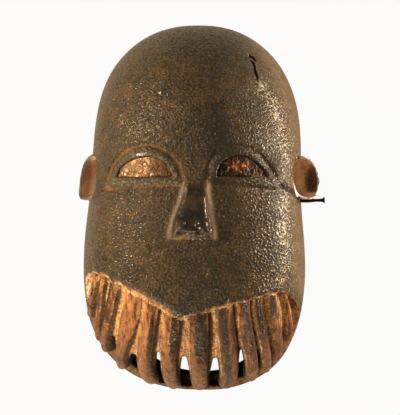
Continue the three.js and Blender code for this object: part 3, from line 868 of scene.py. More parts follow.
def carving(p, parts=None):
    """Distance to the finished wood. parts, when given, receives what the finishes need."""
    over = as_distance(dome, p) - unevenness(p)
    x, y, z = p.T
    f = over.copy()
    for ear in EARS.values():
        near = near_ear(p, ear, 92.0)
        f[near] = with_ear(f[near], p[near], ear)
    near = np.nonzero((np.abs(x) < 26) & (y > -32) & (y < 30) & (z > 100))[0]
    f[near] = joined(f[near], nose_distance(p[near], over[near]), 1.8)
    for eye in EYES.values():
        mid = eye["lid"][:, 0].mean()
        near = np.nonzero((np.abs(x - mid) < 44) & (y > 6) & (y < 56) & (z > 88))[0]
        f[near] = with_eye(f[near], p[near, :2], over[near], eye)
    near = np.nonzero(y < MOUTH_BELOW)[0]
    window = np.full(len(p), 20.0)
    window[near] = window_distance(p[near])
    f[near] = with_mouth(f[near], p[near], over[near], window[near])
    hollow = as_distance(hollow_rule, p)
    f = shared(without(f, hollow, 2.0), -z, 1.6)
    near = np.nonzero((x > 70) & (x < 95) & (np.abs(p[:, 1:] - NAIL_ROOT[1:]) < 8).all(1))[0]
    f[near] = with_nail_hole(f[near], p[near])
    f = without(f, np.linalg.norm((p - PIT) / PIT_SIZE, axis=1) - 1.9, 0.8)
    near = np.nonzero((x > 66) & (x < 86) & (y > -52) & (y < -2) & (z > 50))[0]
    ridge, share = line_distance(p[near, :2], SIDE_RIDGE)
    f[near] -= RIDGE_HEIGHT * bell(ridge, RIDGE_WIDTH) * np.sin(np.pi * np.clip(share, 0, 1)) ** 0.7
    if parts is not None:
        parts.update(over=over, hollow=hollow, window=window)
    return f


probe = carving(np.array([[0.0, 60.0, 130.0], [0.0, 60.0, 120.0], [0.0, 0.0, 20.0]]))
print("carving probe, air, wood, hollow:", probe.round(2))

# %% [markdown]
# ## From the rule to a mesh
#
# The rule is sampled on a grid, first coarsely to find where the surface is, then finely only there.
# Surface nets put one point in every cell that the surface crosses. Each point is then moved on to
# the zero surface of the rule.

# %% Sampling
STEP = 1.3
CORNERS = [(i, j, k) for i in (0, 1) for j in (0, 1) for k in (0, 1)]
FINER = 4
low = np.array([-101.0, -153.0, -4.0])
high = np.array([101.0, 154.0, 145.0])
coarse = STEP * FINER


def window_of(shape, corner):
    """The part of a grid that holds one corner of every cell."""
    return tuple(slice(c, n + c) for n, c in zip(shape, corner))


def finer(values):
    return values.repeat(FINER, 0).repeat(FINER, 1).repeat(FINER, 2)


counts = np.ceil((high - low) / coarse).astype(int)
axes = [low[i] + coarse * np.arange(counts[i] + 1) for i in range(3)]
grid = np.stack(np.meshgrid(*axes, indexing="ij"), -1).reshape(-1, 3)
rough = carving(grid).reshape(counts + 1)
near = np.zeros(counts, bool)
reach_of_cell = coarse * 1.35
for corner in CORNERS:
    near |= np.abs(rough[window_of(counts, corner)]) < reach_of_cell
fine_counts = counts * FINER
fine_axes = [low[i] + STEP * np.arange(fine_counts[i] + 1) for i in range(3)]
wanted = np.zeros(fine_counts + 1, bool)
cells = finer(near)
for corner in CORNERS:
    wanted[window_of(fine_counts, corner)] |= cells
values = finer(np.where(rough > 0, 9.0, -9.0))[window_of(fine_counts + 1, (0, 0, 0))]
places = np.nonzero(wanted)
spots = np.stack([fine_axes[i][places[i]] for i in range(3)], 1)
values[places] = carving(spots)
print("sampled", len(spots), "of", values.size, "points")


# %% Surface nets
def surface_nets(values, axes):
    """Points and four-sided faces of the zero surface on a grid."""
    inside = values < 0
    cell_shape = tuple(n - 1 for n in values.shape)
    total = np.zeros(cell_shape, np.int8)
    for corner in CORNERS:
        total += inside[window_of(cell_shape, corner)]
    active = (total > 0) & (total < 8)
    at = np.nonzero(active)
    number = np.full(cell_shape, -1, np.int64)
    number[at] = np.arange(len(at[0]))
    place, weight = np.zeros((len(at[0]), 3)), np.zeros(len(at[0]))
    for a in CORNERS:
        for axis in range(3):
            if a[axis]:
                continue
            b = tuple(c + (n == axis) for n, c in enumerate(a))
            fa = values[at[0] + a[0], at[1] + a[1], at[2] + a[2]]
            fb = values[at[0] + b[0], at[1] + b[1], at[2] + b[2]]
            crossing = (fa < 0) != (fb < 0)
            t = np.where(crossing, fa / np.where(crossing, fa - fb, 1.0), 0.0)
            for n in range(3):
                pa = axes[n][at[n] + a[n]]
                pb = axes[n][at[n] + b[n]]
                place[:, n] += np.where(crossing, pa + t * (pb - pa), 0.0)
            weight += crossing
    place /= weight[:, None]
    faces = []
    for axis in range(3):
        u, v = [n for n in range(3) if n != axis]
        first = [slice(1, -1)] * 3
        second = [slice(1, -1)] * 3
        first[axis], second[axis] = slice(0, -1), slice(1, None)
        f0, f1 = inside[tuple(first)], inside[tuple(second)]
        for sign in (0, 1):
            changed = np.nonzero((f0 & ~f1) if sign == 0 else (~f0 & f1))
            index = [changed[n] + (0 if n == axis else 1) for n in range(3)]
            ring = []
            for du, dv in ((-1, -1), (0, -1), (0, 0), (-1, 0)):
                cell = list(index)
                cell[u], cell[v] = index[u] + du, index[v] + dv
                ring.append(number[tuple(cell)])
            ring = np.stack(ring, 1)
            flip = (sign == 0) != (axis == 1)
            faces.append(ring if flip else ring[:, ::-1])
    return place, np.concatenate(faces)


PULL_STEP = 0.15
PULL_LIMIT = 0.7


def pulled(p):
    """Points moved on to the zero surface of the carving."""
    f = carving(p)
    slope = np.zeros_like(p)
    for axis in range(3):
        moved = p.copy()
        moved[:, axis] += PULL_STEP
        slope[:, axis] = (carving(moved) - f) / PULL_STEP
    step = np.clip(f / np.maximum((slope**2).sum(1), 0.2), -PULL_LIMIT, PULL_LIMIT)
    return p - slope * step[:, None]


net_points, net_faces = surface_nets(values, fine_axes)
net_points = pulled(net_points)
print("net:", len(net_points), "points,", len(net_faces), "faces")

# %% [markdown]
# The hollow is plain, so it needs few faces, and the smooth skin of the face needs fewer than the mouth. A
# Decimate modifier thins them, and a vertex group says where and how much.

# %% Mesh of the mask
WANTED_TRIANGLES = 170000
wood_mesh = bpy.data.meshes.new("mask_carving")
wood_mesh.from_pydata(net_points.tolist(), [], net_faces.tolist())
wood_mesh.validate()
mask = placed("mask_carving", wood_mesh)
deep_in = as_distance(hollow_rule, net_points)
x, y, z = net_points.T
in_hollow = (np.abs(deep_in) < 0.6) & (z > 6.0)
on_face = (np.abs(as_distance(dome, net_points) - unevenness(net_points)) < 0.15) & (z > 6.0)
busy = (window_distance(net_points) < 3.0) & (y < MOUTH_BELOW)
busy |= (np.abs(x) < 26) & (y > -32) & (y < 30) & (z > 90)
group = mask.vertex_groups.new(name="plain")
group.add(np.nonzero(on_face & ~busy)[0].tolist(), 0.5, "REPLACE")
group.add(np.nonzero(in_hollow)[0].tolist(), 1.0, "REPLACE")
thin = mask.modifiers.new("thin", "DECIMATE")
thin.vertex_group = "plain"
thin.vertex_group_factor = 10.0
thin.ratio = min(1.0, WANTED_TRIANGLES / (2 * len(net_faces)))
thinned = baked(mask)
mask.modifiers.clear()
mask.vertex_groups.clear()
mask.data = thinned


def triangles(mesh):
    return sum(len(f.vertices) - 2 for f in mesh.polygons)


print("after thinning:", len(thinned.vertices), "points,", triangles(thinned), "triangles")


# %% The crack
def crack_opening(points):
    """How far from the crack in plan, and its half width there."""
    distance, gape = np.full(len(points), 99.0), np.full(len(points), 0.1)
    for line, widths in CRACKS:
        away, share = line_distance(points[:, :2], line)
        nearer = (away < distance) & (points[:, 2] > 60.0)
        width_there = np.interp(share * (len(widths) - 1), range(len(widths)), widths)
        distance, gape = np.where(nearer, away, distance), np.where(nearer, width_there, gape)
    return distance, gape


work = bmesh.new()
work.from_mesh(thinned)
for zone in (2.6, 1.8, 1.2):
    places = np.array([v.co for v in work.verts])
    close = crack_opening(places)[0] < zone
    work.verts.ensure_lookup_table()
    cut = [e for e in work.edges if close[e.verts[0].index] and close[e.verts[1].index]]
    bmesh.ops.subdivide_edges(work, edges=cut, cuts=1, use_grid_fill=True)
    bmesh.ops.triangulate(work, faces=[f for f in work.faces if len(f.verts) > 4])
    work.verts.index_update()
places = np.array([v.co for v in work.verts])
distance, gape = crack_opening(places)
inwards = dome_slope(places)
for index in np.nonzero(distance < gape)[0].tolist():
    sunk = CRACK_DEPTH * min(1.0, 1.6 * (1.0 - distance[index] / gape[index]))
    work.verts.ensure_lookup_table()
    work.verts[index].co -= Vector(inwards[index] * sunk)
work.to_mesh(thinned)
work.free()
print("with the crack:", triangles(thinned), "triangles")

# %% [markdown]
# ## Which finish goes where
#
# Paint and wear follow the carving: pigment stays in grooves and valleys, and painted highlight and painted
# shade lie where the forms catch or lose the light. A texture that ignores the shape can't do that. So every
# point of the mesh is asked a few questions of the distance rule, and the answers are kept as attributes
# that the one wood material reads.


# %% Attributes of the carving
def slat_coordinates(p):
    """Across the nearest slat, from -1 to 1 over its width, along it from lip to toe, and its number."""
    across, along, number = np.full(len(p), 9.0), np.zeros(len(p)), np.zeros(len(p), int)
    for which, slat in enumerate(SLATS):
        centre, out, wide, _ = slat_path(*slat)
        tangent = np.gradient(centre, axis=0)
        side = np.cross(out, tangent)
        side /= np.linalg.norm(side, axis=1, keepdims=True)
        nearest = np.argmin(((p[:, None, :] - centre[None, ::2, :]) ** 2).sum(2), axis=1) * 2
        u = ((p - centre[nearest]) * side[nearest]).sum(1) / np.maximum(wide[nearest], 0.8 * slat[4])
        nearer = np.abs(u) < np.abs(across)
        across, along = np.where(nearer, u, across), np.where(nearer, nearest / (PATH_POINTS - 1), along)
        number = np.where(nearer, which, number)
    return across, along, number


# %% Places of tone and wear, painted highlight and painted shade
# How light each slat is, from dark brown at 0 to ochre at 1.
SLAT_TONE = np.array([0.5, 0.42, 0.46, 0.55, 0.52, 0.48, 0.42, 0.34, 0.3, 0.36, 0.42, 0.46])
# Soot on the slats: which one, its left and right limit over the width, and where it starts and ends.
SOOT = [
    (1, -1.0, 0.2, -0.1, 0.42, 1.0), (2, -1.0, 0.05, -0.1, 0.55, 1.0), (0, 0.2, 1.0, 0.1, 0.5, 0.7),
    (3, -0.6, 0.5, 0.3, 1.1, 0.45), (3, -1.2, -0.5, 0.0, 0.7, 0.6), (4, 0.2, 1.0, 0.1, 0.62, 0.8),
    (4, -0.9, -0.4, 0.45, 1.0, 0.5), (5, 0.05, 0.85, 0.05, 0.58, 1.0), (5, -0.4, 0.3, 0.6, 1.1, 0.5),
    (6, -0.3, 0.95, 0.0, 0.6, 1.0), (6, 0.2, 0.8, 0.6, 1.0, 0.6), (7, -0.65, 0.15, 0.08, 0.92, 0.9),
    (7, 0.3, 0.9, 0.2, 0.55, 0.6), (8, 0.0, 0.7, 0.08, 0.62, 0.9), (8, -0.8, -0.3, 0.4, 0.9, 0.5),
    (9, -0.6, 0.85, 0.0, 0.52, 1.0), (10, -0.9, 0.25, -0.1, 0.36, 1.0), (10, -0.6, 0.4, 0.45, 0.8, 0.5),
    (7, -1.1, 1.1, 0.86, 1.1, 0.5),
]
# Where the dark coat is worn to warm brown, or left thick: place in plan, radius, amount.
PATINA = [
    (-42, 78, 34, 0.6), (-10, 92, 22, 0.4), (-62, 48, 26, 0.1), (-52, -12, 34, 0.4), (-30, -40, 26, 0.45),
    (30, 92, 20, 0.3), (58, 62, 24, 0.25), (14, 128, 44, -0.9), (12, 66, 26, -0.45), (22, 44, 18, -0.6),
    (-6, 24, 12, 0.5), (4, -44, 34, -0.3), (34, -6, 26, -0.25), (8, -70, 22, -0.4), (-74, -44, 14, -0.3),
    (-26, 113, 12, 0.5), (3, 101, 9, 0.5),
]
# Where the shoulder gets a painted highlight in light grains along a line, and the same on the left brow.
RUBBED_LINE = np.array([
    (52.0, 98.0), (57.0, 90.0), (62.5, 79.0), (67.0, 66.0), (70.5, 46.0), (72.5, 24.0), (70.0, 2.0),
    (69.8, -20.0), (69.0, -42.0), (67.0, -58.0), (65.0, -70.0),
])
RUBBED_BROW = (-41.0, 62.0, 25.0, 0.74)
# Where the colour is darkened as painted shade and the gloss kept down: place in plan, width, length,
# amount.
DULL = [(63.0, 31.0, 7.0, 13.0, 1.0), (42.0, 62.0, 11.0, 18.0, 0.75), (24.0, 62.0, 14.0, 20.0, 0.45)]
# The painted shadow under the right ear, a dark streak.
EAR_SHADE = np.array([(69.0, 18.0), (77.0, 12.5), (86.0, 5.5)])
print("places:", len(SOOT), "soot stripes,", len(PATINA), "patches of patina")


# %% Layers of the rule
def patch(points, at_x, at_y, radius, amount):
    """A soft round patch in plan."""
    return amount * np.exp(-((points[:, 0] - at_x) ** 2 + (points[:, 1] - at_y) ** 2) / radius**2)


def blank(value=0.0):
    return np.full(len(co), value)


co, out = vectors_of(thinned.vertices, "co"), vectors_of(thinned.vertex_normals, "vector")
x, y, z = co.T
parts = {}
carving(co, parts)
over, window = parts["over"], parts["window"]
outside = ease(-2.0, 2.0, parts["hollow"] - 4.0)
lip_line = blank(30.0)
below = np.nonzero(y < MOUTH_BELOW)[0]
lip_line[below] = area_distance(co[below, :2], LIP)
lip_band = bell(lip_line + 1.9 + 0.9 * ease(0.0, -20.0, x), 1.35)
above_lip = ease(0.5, 9.0, lip_line) * ease(8.0, 22.0, z)
layers = {
    "inside": 1.0 - outside,
    "mouth": ease(0.8, -0.8, window) * outside,
    "crest": ease(-5.5, -1.0, over) * outside,
    "lip": lip_band * ease(-9.5, -6.0, over) * ease(38.0, 52.0, z) * outside,
    "lip_shade": bell(window - 0.5, 1.2) * ease(-20.0, 0.0, x) * outside,
    # painted light: the right side walls coloured lighter, as where the lamp falls
    "side_wear": ease(0.52, 0.26, out[:, 2]) * ease(30.0, 60.0, x) * above_lip * outside,
}
print("rule layers:", ", ".join(layers))

# %% Layers of the mouth
# They are asked only where the mouth is.
in_mouth = np.nonzero((window < 3.0) & (y < MOUTH_BELOW) & (over > -16.0))[0]
slat_u, slat_t, slat_number = slat_coordinates(co[in_mouth])
soot, valley, crevice, pierced, length_along = (blank() for _ in range(5))
for which, left, right_end, start, end, strength in SOOT:
    band = ease(left - 0.35, left + 0.35, slat_u) * ease(right_end + 0.35, right_end - 0.35, slat_u)
    band *= ease(start - 0.16, start + 0.1, slat_t) * ease(end + 0.22, end - 0.16, slat_t)
    soot[in_mouth] = np.maximum(soot[in_mouth], band * strength * (slat_number == which))
valley[in_mouth] = (ease(-0.7, -1.0, slat_u) + 0.4 * ease(1.0, 1.2, slat_u)) * ease(0.9, 0.55, slat_t)
# A dark line on one side of each valley between the slats is painted shadow.
crevice[in_mouth] = ease(0.66, 0.9, slat_u) * ease(1.3, 1.1, slat_u) * ease(0.02, 0.12, slat_t)
# The slots are coloured near black as painted shade.
pierced[in_mouth] = ease(1.6, 0.4, slot_distance(co[in_mouth])) * ease(-4.5, -7.5, over[in_mouth])
length_along[in_mouth] = slat_t
tone = blank(0.5)
tone[in_mouth] = SLAT_TONE[slat_number]
layers.update(soot=soot, valley=valley * outside, crevice=crevice * outside, pierced=pierced)
layers.update(slat_length=length_along, slat_tone=tone)
print("mouth layers on", len(in_mouth), "points")

# %% Layers of the eyes
# The left lids are coloured lighter grey as painted sheen, and the top of the left lid gets light specks as
# painted glints.
eye_line, lid_top, lid_worn, lid_grey = (blank() for _ in range(4))
for eye in EYES.values():
    near = np.nonzero((np.abs(x - eye["lid"][:, 0].mean()) < 46) & (y > 4) & (y < 58) & (z > 85))[0]
    xy = co[near, :2]
    away = {name: line_distance(xy, eye[name])[0] for name in ("groove", "line", "lid", "lower")}
    groove, lid = np.minimum(away["groove"], away["line"]), np.minimum(away["lid"], away["lower"])
    foot = line_distance(xy, np.array([eye["bed"][0], eye["bed"][-1]]) + np.array([0.0, -0.6]))[0]
    strength = 1.0 if eye is EYES["left"] else 0.72
    for values, found in (
        (eye_line, strength * np.maximum(bell(groove, 3.2), 0.9 * bell(foot, 1.1))),
        (lid_worn, bell(away["lid"], 1.3) * bell(xy[:, 0] + 38.0, 6.5)),
        (lid_grey, ease(3.4, 1.4, lid) * ease(-2.0, -10.0, xy[:, 0])),
        (lid_top, ease(3.2, 2.0, lid) * ease(-0.6, 0.6, over[near])),
    ):
        values[near] = np.maximum(values[near], found)
lid_worn *= 0.3 + 0.7 * ease(5.0, -5.0, x)
layers.update(eye_line=eye_line, lid_top=lid_top, lid_worn=lid_worn, lid_grey=lid_grey)
print("eye layers on", int((lid_top > 0.5).sum()), "points of the lids")

# %% Layers of the nose
NOSE_MIDDLE = 3.0
v = np.clip((NOSE_TOP - y) / NOSE_LENGTH, -0.2, 1.3)
nose_side = np.abs(x - NOSE_MIDDLE + 2.6 * ease(0, 0.9, v)) - 8.6 - 7.6 * ease(0.05, 0.95, v)
on_nose = ease(1.6, 0.4, nose_distance(co, over)) * ease(0.2, 2.2, over)
on_nose *= ease(NOSE_TOP + 2, NOSE_TOP - 3, y) * ease(-19.2, -16.8, y + 0.12 * (over - 8.0)) * (z > 100)
nose_foot = ease(-17.0, -18.6, y) * ease(-24.6, -22.4, y) * ease(14.0, 10.8, np.abs(x + 1.6))
# Painted highlight over some wear on both edges of the nose, stronger on the right.
nose_edge = bell(nose_side - 1.2, 1.7) * ease(NOSE_TOP + 3, NOSE_TOP - 2, y) * ease(-25, -21, y)
layers["nose"] = on_nose
layers["nose_left"] = on_nose * ease(-3.0, -6.5, x)
layers["nose_foot"] = nose_foot * (z > 100)
layers["nose_edge"] = nose_edge * (z > 100) * (0.5 + 0.5 * ease(-4.0, 4.0, x))
layers["nose_root"] = bell(y - 20.6, 1.5) * ease(13.5, 10.5, np.abs(x - 4.0)) * (z > 100)
print("nose layers on", int((on_nose > 0.5).sum()), "points")

# %% Layers of the ears
# The far wall inside the right ear's cup is darkened as painted shade.
cup, rim, cup_stain = (blank() for _ in range(3))
for ear in EARS.values():
    near = near_ear(co, ear, 96.0)
    local = ear_local(co[near], ear)
    inner_cup = cup_distance(local, ear, 0.0)
    lip_of_cup = ease(3.2, 1.8, inner_cup) * ease(-2.6, -1.0, local[:, 2])
    lip_of_cup *= ease(-12.0, -3.0, local[:, 0] * ear["side"] - 0.4 * local[:, 1])
    cup[near] = np.maximum(cup[near], ease(0.9, 0.0, inner_cup) * ease(-0.2, -1.8, local[:, 2]))
    rim[near] = np.maximum(rim[near], lip_of_cup * ear["worn_rim"])
    cup_stain[near] = ease(*ear["stain"], local[:, 0]) * ease(15.0, 10.0, np.abs(local[:, 1] - 0.5))
layers.update(ear_cup=cup, ear_rim=rim * (1.0 - cup), ear_stain=cup_stain)
print("ear layers on", int((cup > 0.5).sum()), "points of the cups")

# %% Layers of patina, painted highlight and painted shade, the crack and the nail's stain
FACE_ABOVE = 40.0
on_face = z > FACE_ABOVE
# Painted highlight: a grained light band along the right shoulder and a patch on the left brow.
rubbed = np.maximum(bell(line_distance(co[:, :2], RUBBED_LINE)[0], 7.6), patch(co, *RUBBED_BROW))
# Painted shade beside the highlights: the colour darker, and the gloss kept down.
dull = blank()
for at_x, at_y, width, length, amount in DULL:
    dull = np.maximum(dull, amount * np.exp(-(((x - at_x) / width) ** 2) - ((y - at_y) / length) ** 2))
split, gape = crack_opening(co)
nail_spot = np.linalg.norm(co - np.array(NAIL_ROOT), axis=1)
# Painted shadow under the right ear, joined to the real stain round the nail root.
under_ear = ease(4.0, 1.4, line_distance(co[:, :2], EAR_SHADE)[0]) * ease(50.0, 64.0, z) * outside
layers["warmth"] = np.clip(sum(patch(co, *spot) for spot in PATINA), -1.0, 1.0)
layers["rubbed"] = rubbed * on_face * above_lip * outside
layers["dull"] = dull * on_face * outside
# The crack is coloured near black as painted shade.
layers["crack"] = ease(1.2, 0.7, split / np.maximum(gape, 0.3))
layers["nail_stain"] = np.maximum(ease(9.0, 3.0, nail_spot), under_ear)
for name, values in layers.items():
    keep_layer(thinned, name, values)
for vertex in thinned.vertices:
    vertex.co.z = max(vertex.co.z, 0.0)
thinned.transform(Matrix.Scale(MM, 4) @ Matrix.Translation(Vector(SHIFT)))
print("layers:", ", ".join(f"{name} {float(np.mean(values)):.3f}" for name, values in layers.items()))

# %% [markdown]
# ## Shared effects of the finishes
#
# Old wood, crumpled copper and rusty iron all show grain, patches of tone, and dirt that gathers low
# down. Each effect is a node group built once. A group puts out only colours and values, and every
# material keeps its own shader.


# %% Shader helpers
def paint(red, green, blue):
    """A colour given from 0 to 255, as the linear colour that a shader wants."""
    channels = [c / 255 for c in (red, green, blue)]
    linear = [c / 12.92 if c <= 0.04045 else ((c + 0.055) / 1.055) ** 2.4 for c in channels]
    return (*linear, 1.0)


def new_group(name, inputs, outputs):
    tree = bpy.data.node_groups.new(name, "ShaderNodeTree")
    for label, kind, value in inputs:
        socket = tree.interface.new_socket(label, in_out="INPUT", socket_type=kind)
        if value is not None:
            socket.default_value = value
    for label, kind in outputs:
        tree.interface.new_socket(label, in_out="OUTPUT", socket_type=kind)
    return group_ends(tree)


def mixed(amount, a, b):
    """Two colours mixed by an amount."""
    node = tree_of(amount, a, b).nodes.new("ShaderNodeMix")
    node.data_type = "RGBA"
    node.clamp_factor = True
    for socket, value in ((node.inputs[0], amount), (node.inputs[6], a), (node.inputs[7], b)):
        put(node.id_data, socket, value)
    return node.outputs[2]


def blended(share, first, second):
    return mixed(share, paint(*first), paint(*second))


def coated(colour, *coats):
    """Coats laid on a colour in turn. Each has the share it covers, and its tone."""
    for share, tone in coats:
        colour = mixed(share, colour, tone if isinstance(tone, bpy.types.NodeSocket) else paint(*tone))
    return colour


def ramp(value, low, high, to_low=0.0, to_high=1.0):
    """A value taken smoothly from one range to another."""
    return add(
        tree_of(value),
        "ShaderNodeMapRange",
        {"Value": value, "From Min": low, "From Max": high, "To Min": to_low, "To Max": to_high},
        interpolation_type="SMOOTHSTEP",
    ).outputs["Result"]


def layer_value(tree, name):
    return add(tree, "ShaderNodeAttribute", attribute_name=name, attribute_type="GEOMETRY").outputs["Fac"]


def use_group(group, inputs):
    node = tree_of(*inputs.values()).nodes.new("ShaderNodeGroup")
    node.node_tree = group
    connect(node, inputs)
    return node.outputs


def connect(node, values):
    for key, value in values.items():
        put(node.id_data, node.inputs[key], value)


def noise(where, size, detail, rough, stretch=None, turn=0.0):
    """Noise whose features are about that many metres across."""
    if stretch is not None:
        where = vectors("MULTIPLY", where, stretch)
    scale = divided(1.0, size) if isinstance(size, bpy.types.NodeSocket) else 1.0 / size
    inputs = {"Vector": where, "Scale": scale, "Detail": detail, "Roughness": rough, "Distortion": turn}
    return add(tree_of(where), "ShaderNodeTexNoise", inputs).outputs[0]


def with_noise(value, *shakes):
    """A mask whose edge is shaken by noises, each with its strength."""
    for pattern, strength in shakes:
        value = plus(value, less_and_times(pattern, 0.5, strength))
    return value


def bumped(height, distance, strength=1.0, below=None):
    """The normal of a fine relief, over the normal of another one when there is one."""
    inputs = {"Height": height, "Strength": strength, "Distance": distance}
    bump = add(tree_of(height), "ShaderNodeBump", inputs)
    if below is not None:
        put(bump.id_data, bump.inputs["Normal"], below)
    return bump.outputs[0]


# %% Grain group
grain_group, given, result = new_group(
    "leathery_grain",
    (
        ("Vector", "NodeSocketVector", None),
        ("Size", "NodeSocketFloat", 0.002),
        ("Fineness", "NodeSocketFloat", 0.5),
    ),
    (("Height", "NodeSocketFloat"), ("Pits", "NodeSocketFloat")),
)
BEND_SCALE = 260.0
BEND = 0.0016
bend_inputs = {"Vector": given["Vector"], "Scale": BEND_SCALE, "Detail": 2.0}
bent = add(grain_group, "ShaderNodeTexNoise", bend_inputs).outputs["Color"]
bent = vectors("SCALE", vectors("SUBTRACT", bent, (0.5, 0.5, 0.5)), BEND)
where = vectors("ADD", given["Vector"], bent)
cell_inputs = {"Vector": where, "Scale": divided(1.0, given["Size"]), "Randomness": 1.0}
cells = add(grain_group, "ShaderNodeTexVoronoi", cell_inputs, feature="F1").outputs["Distance"]
fine = noise(where, times(given["Size"], 0.45), 4.0, 0.65)
height = plus(minus(1.0, ramp(cells, 0.05, 0.75)), times(fine, given["Fineness"]))
grain_group.links.new(height, result["Height"])
grain_group.links.new(ramp(height, 0.75, 0.25), result["Pits"])

# %% Patina group
patina_group, given, result = new_group(
    "patches_of_tone",
    (
        ("Vector", "NodeSocketVector", None),
        ("Light Tone", "NodeSocketColor", paint(110, 82, 50)),
        ("Dark Tone", "NodeSocketColor", paint(52, 43, 34)),
        ("Patch Size", "NodeSocketFloat", 0.03),
        ("Balance", "NodeSocketFloat", 0.5),
    ),
    (("Color", "NodeSocketColor"), ("Mask", "NodeSocketFloat")),
)
broad = noise(given["Vector"], given["Patch Size"], 6.0, 0.66, turn=0.4)
close = noise(given["Vector"], times(given["Patch Size"], 0.14), 4.0, 0.7)
blend = plus(times(broad, 0.7), times(close, 0.3))
patches = ramp(plus(blend, minus(given["Balance"], 0.5)), 0.38, 0.64)
patina_group.links.new(mixed(patches, given["Dark Tone"], given["Light Tone"]), result["Color"])
patina_group.links.new(patches, result["Mask"])

# %% Dust group
dust_group, given, result = new_group(
    "settled_dust",
    (
        ("Vector", "NodeSocketVector", None),
        ("Color", "NodeSocketColor", paint(80, 60, 40)),
        ("Dust", "NodeSocketColor", paint(190, 120, 60)),
        ("Amount", "NodeSocketFloat", 0.5),
        ("Grain Size", "NodeSocketFloat", 0.0014),
    ),
    (("Color", "NodeSocketColor"), ("Mask", "NodeSocketFloat")),
)
crumbs = noise(given["Vector"], given["Grain Size"], 5.0, 0.75)
clouds = noise(given["Vector"], times(given["Grain Size"], 6.0), 3.0, 0.6)
ragged = plus(times(crumbs, 0.6), times(clouds, 0.4))
settled = ramp(plus(ragged, given["Amount"]), 0.85, 1.15)
dust_group.links.new(mixed(settled, given["Color"], given["Dust"]), result["Color"])
dust_group.links.new(settled, result["Mask"])
print("groups:", [g.name for g in (grain_group, patina_group, dust_group)])

# %% [markdown]
# ## The wood
#
# Real wood of this kind is dark from oil and smoke, with ochre pigment rubbed into every recess. The layers
# go on in the order in which the maker and the years put them on: dark coat, pigment, then wear. The
# shoulder and the left brow get a painted highlight in grains, and beside them painted shade darkens the
# colour and the gloss is kept down.
# The leathery skin is finer than the mesh, so it is a relief in the finish.


# %% Wood material
# Single marks on the face: place in plan, radius, colour. The first is a chip, the others are pits; the dark
# ones are spots of painted shade.
SPOTS = [
    (-24.3, 88.0, 0.9, (200, 180, 150)),
    (-25.8, -53.6, 0.8, (24, 18, 14)),
    (-56.0, -18.4, 0.9, (24, 18, 14)),
    (-50.6, -3.0, 0.6, (30, 24, 18)),
    (12.4, -49.0, 0.7, (132, 106, 60)),
]


def shader_start(name):
    material = bpy.data.materials.new(name)
    material.use_nodes = True
    tree = material.node_tree
    shader = tree.nodes["Principled BSDF"]
    where = add(tree, "ShaderNodeTexCoord").outputs["Object"]
    return material, tree, shader, where


wood, tree, shader, where = shader_start("oiled_carved_wood")
layer = {name: layer_value(tree, name) for name in layers}
grain = use_group(grain_group, {"Vector": where, "Size": 0.0021, "Fineness": 0.9})
coat = use_group(patina_group, {
    "Vector": where,
    "Light Tone": paint(79, 61, 38),
    "Dark Tone": paint(55, 47, 36),
    "Patch Size": 0.014,
    "Balance": plus(0.49, times(layer["warmth"], 0.12)),
})
warm = noise(where, 0.012, 5.0, 0.72)
strokes = noise(where, 0.007, 4.0, 0.65, stretch=(0.3, 1.0, 1.0))
fine_rust = noise(where, 0.0042, 4.0, 0.7)
specks = noise(where, 0.0018, 4.0, 0.72)
rubbed_share = with_noise(times(layer["rubbed"], 0.66), (specks, -4.2), (fine_rust, -1.4), (warm, 1.4))
dark_coat = coated(
    coat["Color"],
    (ramp(strokes, 0.52, 0.66, 0.0, 0.5), (40, 35, 28)),
    (ramp(plus(warm, times(layer["warmth"], 0.14)), 0.54, 0.74, 0.0, 0.45), (112, 76, 38)),
    (ramp(fine_rust, 0.58, 0.7, 0.0, 0.5), (118, 78, 36)),
    (ramp(specks, 0.51, 0.64, 0.0, 0.75), (28, 24, 19)),
    (ramp(specks, 0.47, 0.35, 0.0, 0.55), (112, 88, 56)),
    (ramp(layer["warmth"], -0.2, -1.0, 0.0, 0.5), (36, 33, 29)),
    # painted shade beside the highlights
    (times(layer["dull"], 0.5), (40, 36, 29)),
    # painted highlight in light grains on the shoulder and the left brow
    (times(ramp(rubbed_share, 0.7, 1.1, 0.0, 0.85), layer["rubbed"]), (204, 184, 150)),
)
groove_amount = times(layer["eye_line"], 0.49)
for name in ("nose_foot", "nose_root"):
    groove_amount = larger(groove_amount, times(layer[name], 0.42))
dusty = use_group(dust_group, {
    "Vector": where,
    "Color": dark_coat,
    "Dust": paint(142, 94, 44),
    "Amount": groove_amount,
    "Grain Size": 0.0016,
})
edge_light = ramp(with_noise(warm, (specks, -0.8)), -0.15, 0.2, 0.35, 0.9)
colour = coated(
    dusty["Color"],
    (layer["nose"], blended(ramp(warm, 0.42, 0.62), (40, 34, 28), (64, 50, 36))),
    # painted highlight over worn wood on the nose edges
    (times(layer["nose_edge"], edge_light), (178, 146, 110)),
    (times(layer["lid_top"], 0.8), (48, 41, 31)),
    (times(layer["lip_shade"], 0.45), (40, 33, 26)),
    # painted light on the right side walls
    (times(layer["side_wear"], ramp(strokes, 0.66, 0.4, 0.25, 0.75)), (112, 90, 64)),
    # painted sheen on the left lids
    (times(layer["lid_grey"], ramp(specks, 0.55, 0.42, 0.05, 0.6)), (132, 112, 84)),
    # painted glints on the top of the left lid
    (ramp(with_noise(layer["lid_worn"], (specks, 2.6)), 0.55, 0.95), (214, 204, 182)),
    # painted shadow under the right ear, with the stain round the nail
    (times(layer["nail_stain"], 0.8), (30, 24, 20)),
    # painted shade in the crack
    (layer["crack"], (20, 15, 11)),
)
for at_x, at_y, radius, tone in SPOTS:
    away = vectors("DISTANCE", where, tuple(to_frame(on_dome_at(at_x, at_y))))
    colour = coated(colour, (ramp(away, radius * 1.5 * MM, radius * 0.7 * MM), tone))
print("face coat:", len(tree.nodes), "nodes")

# %% [markdown]
# In the mouth soot lies in long stripes on the slats, the wood under it is a reddish brown, and ochre
# stands as a crust in the valleys and along the lip.

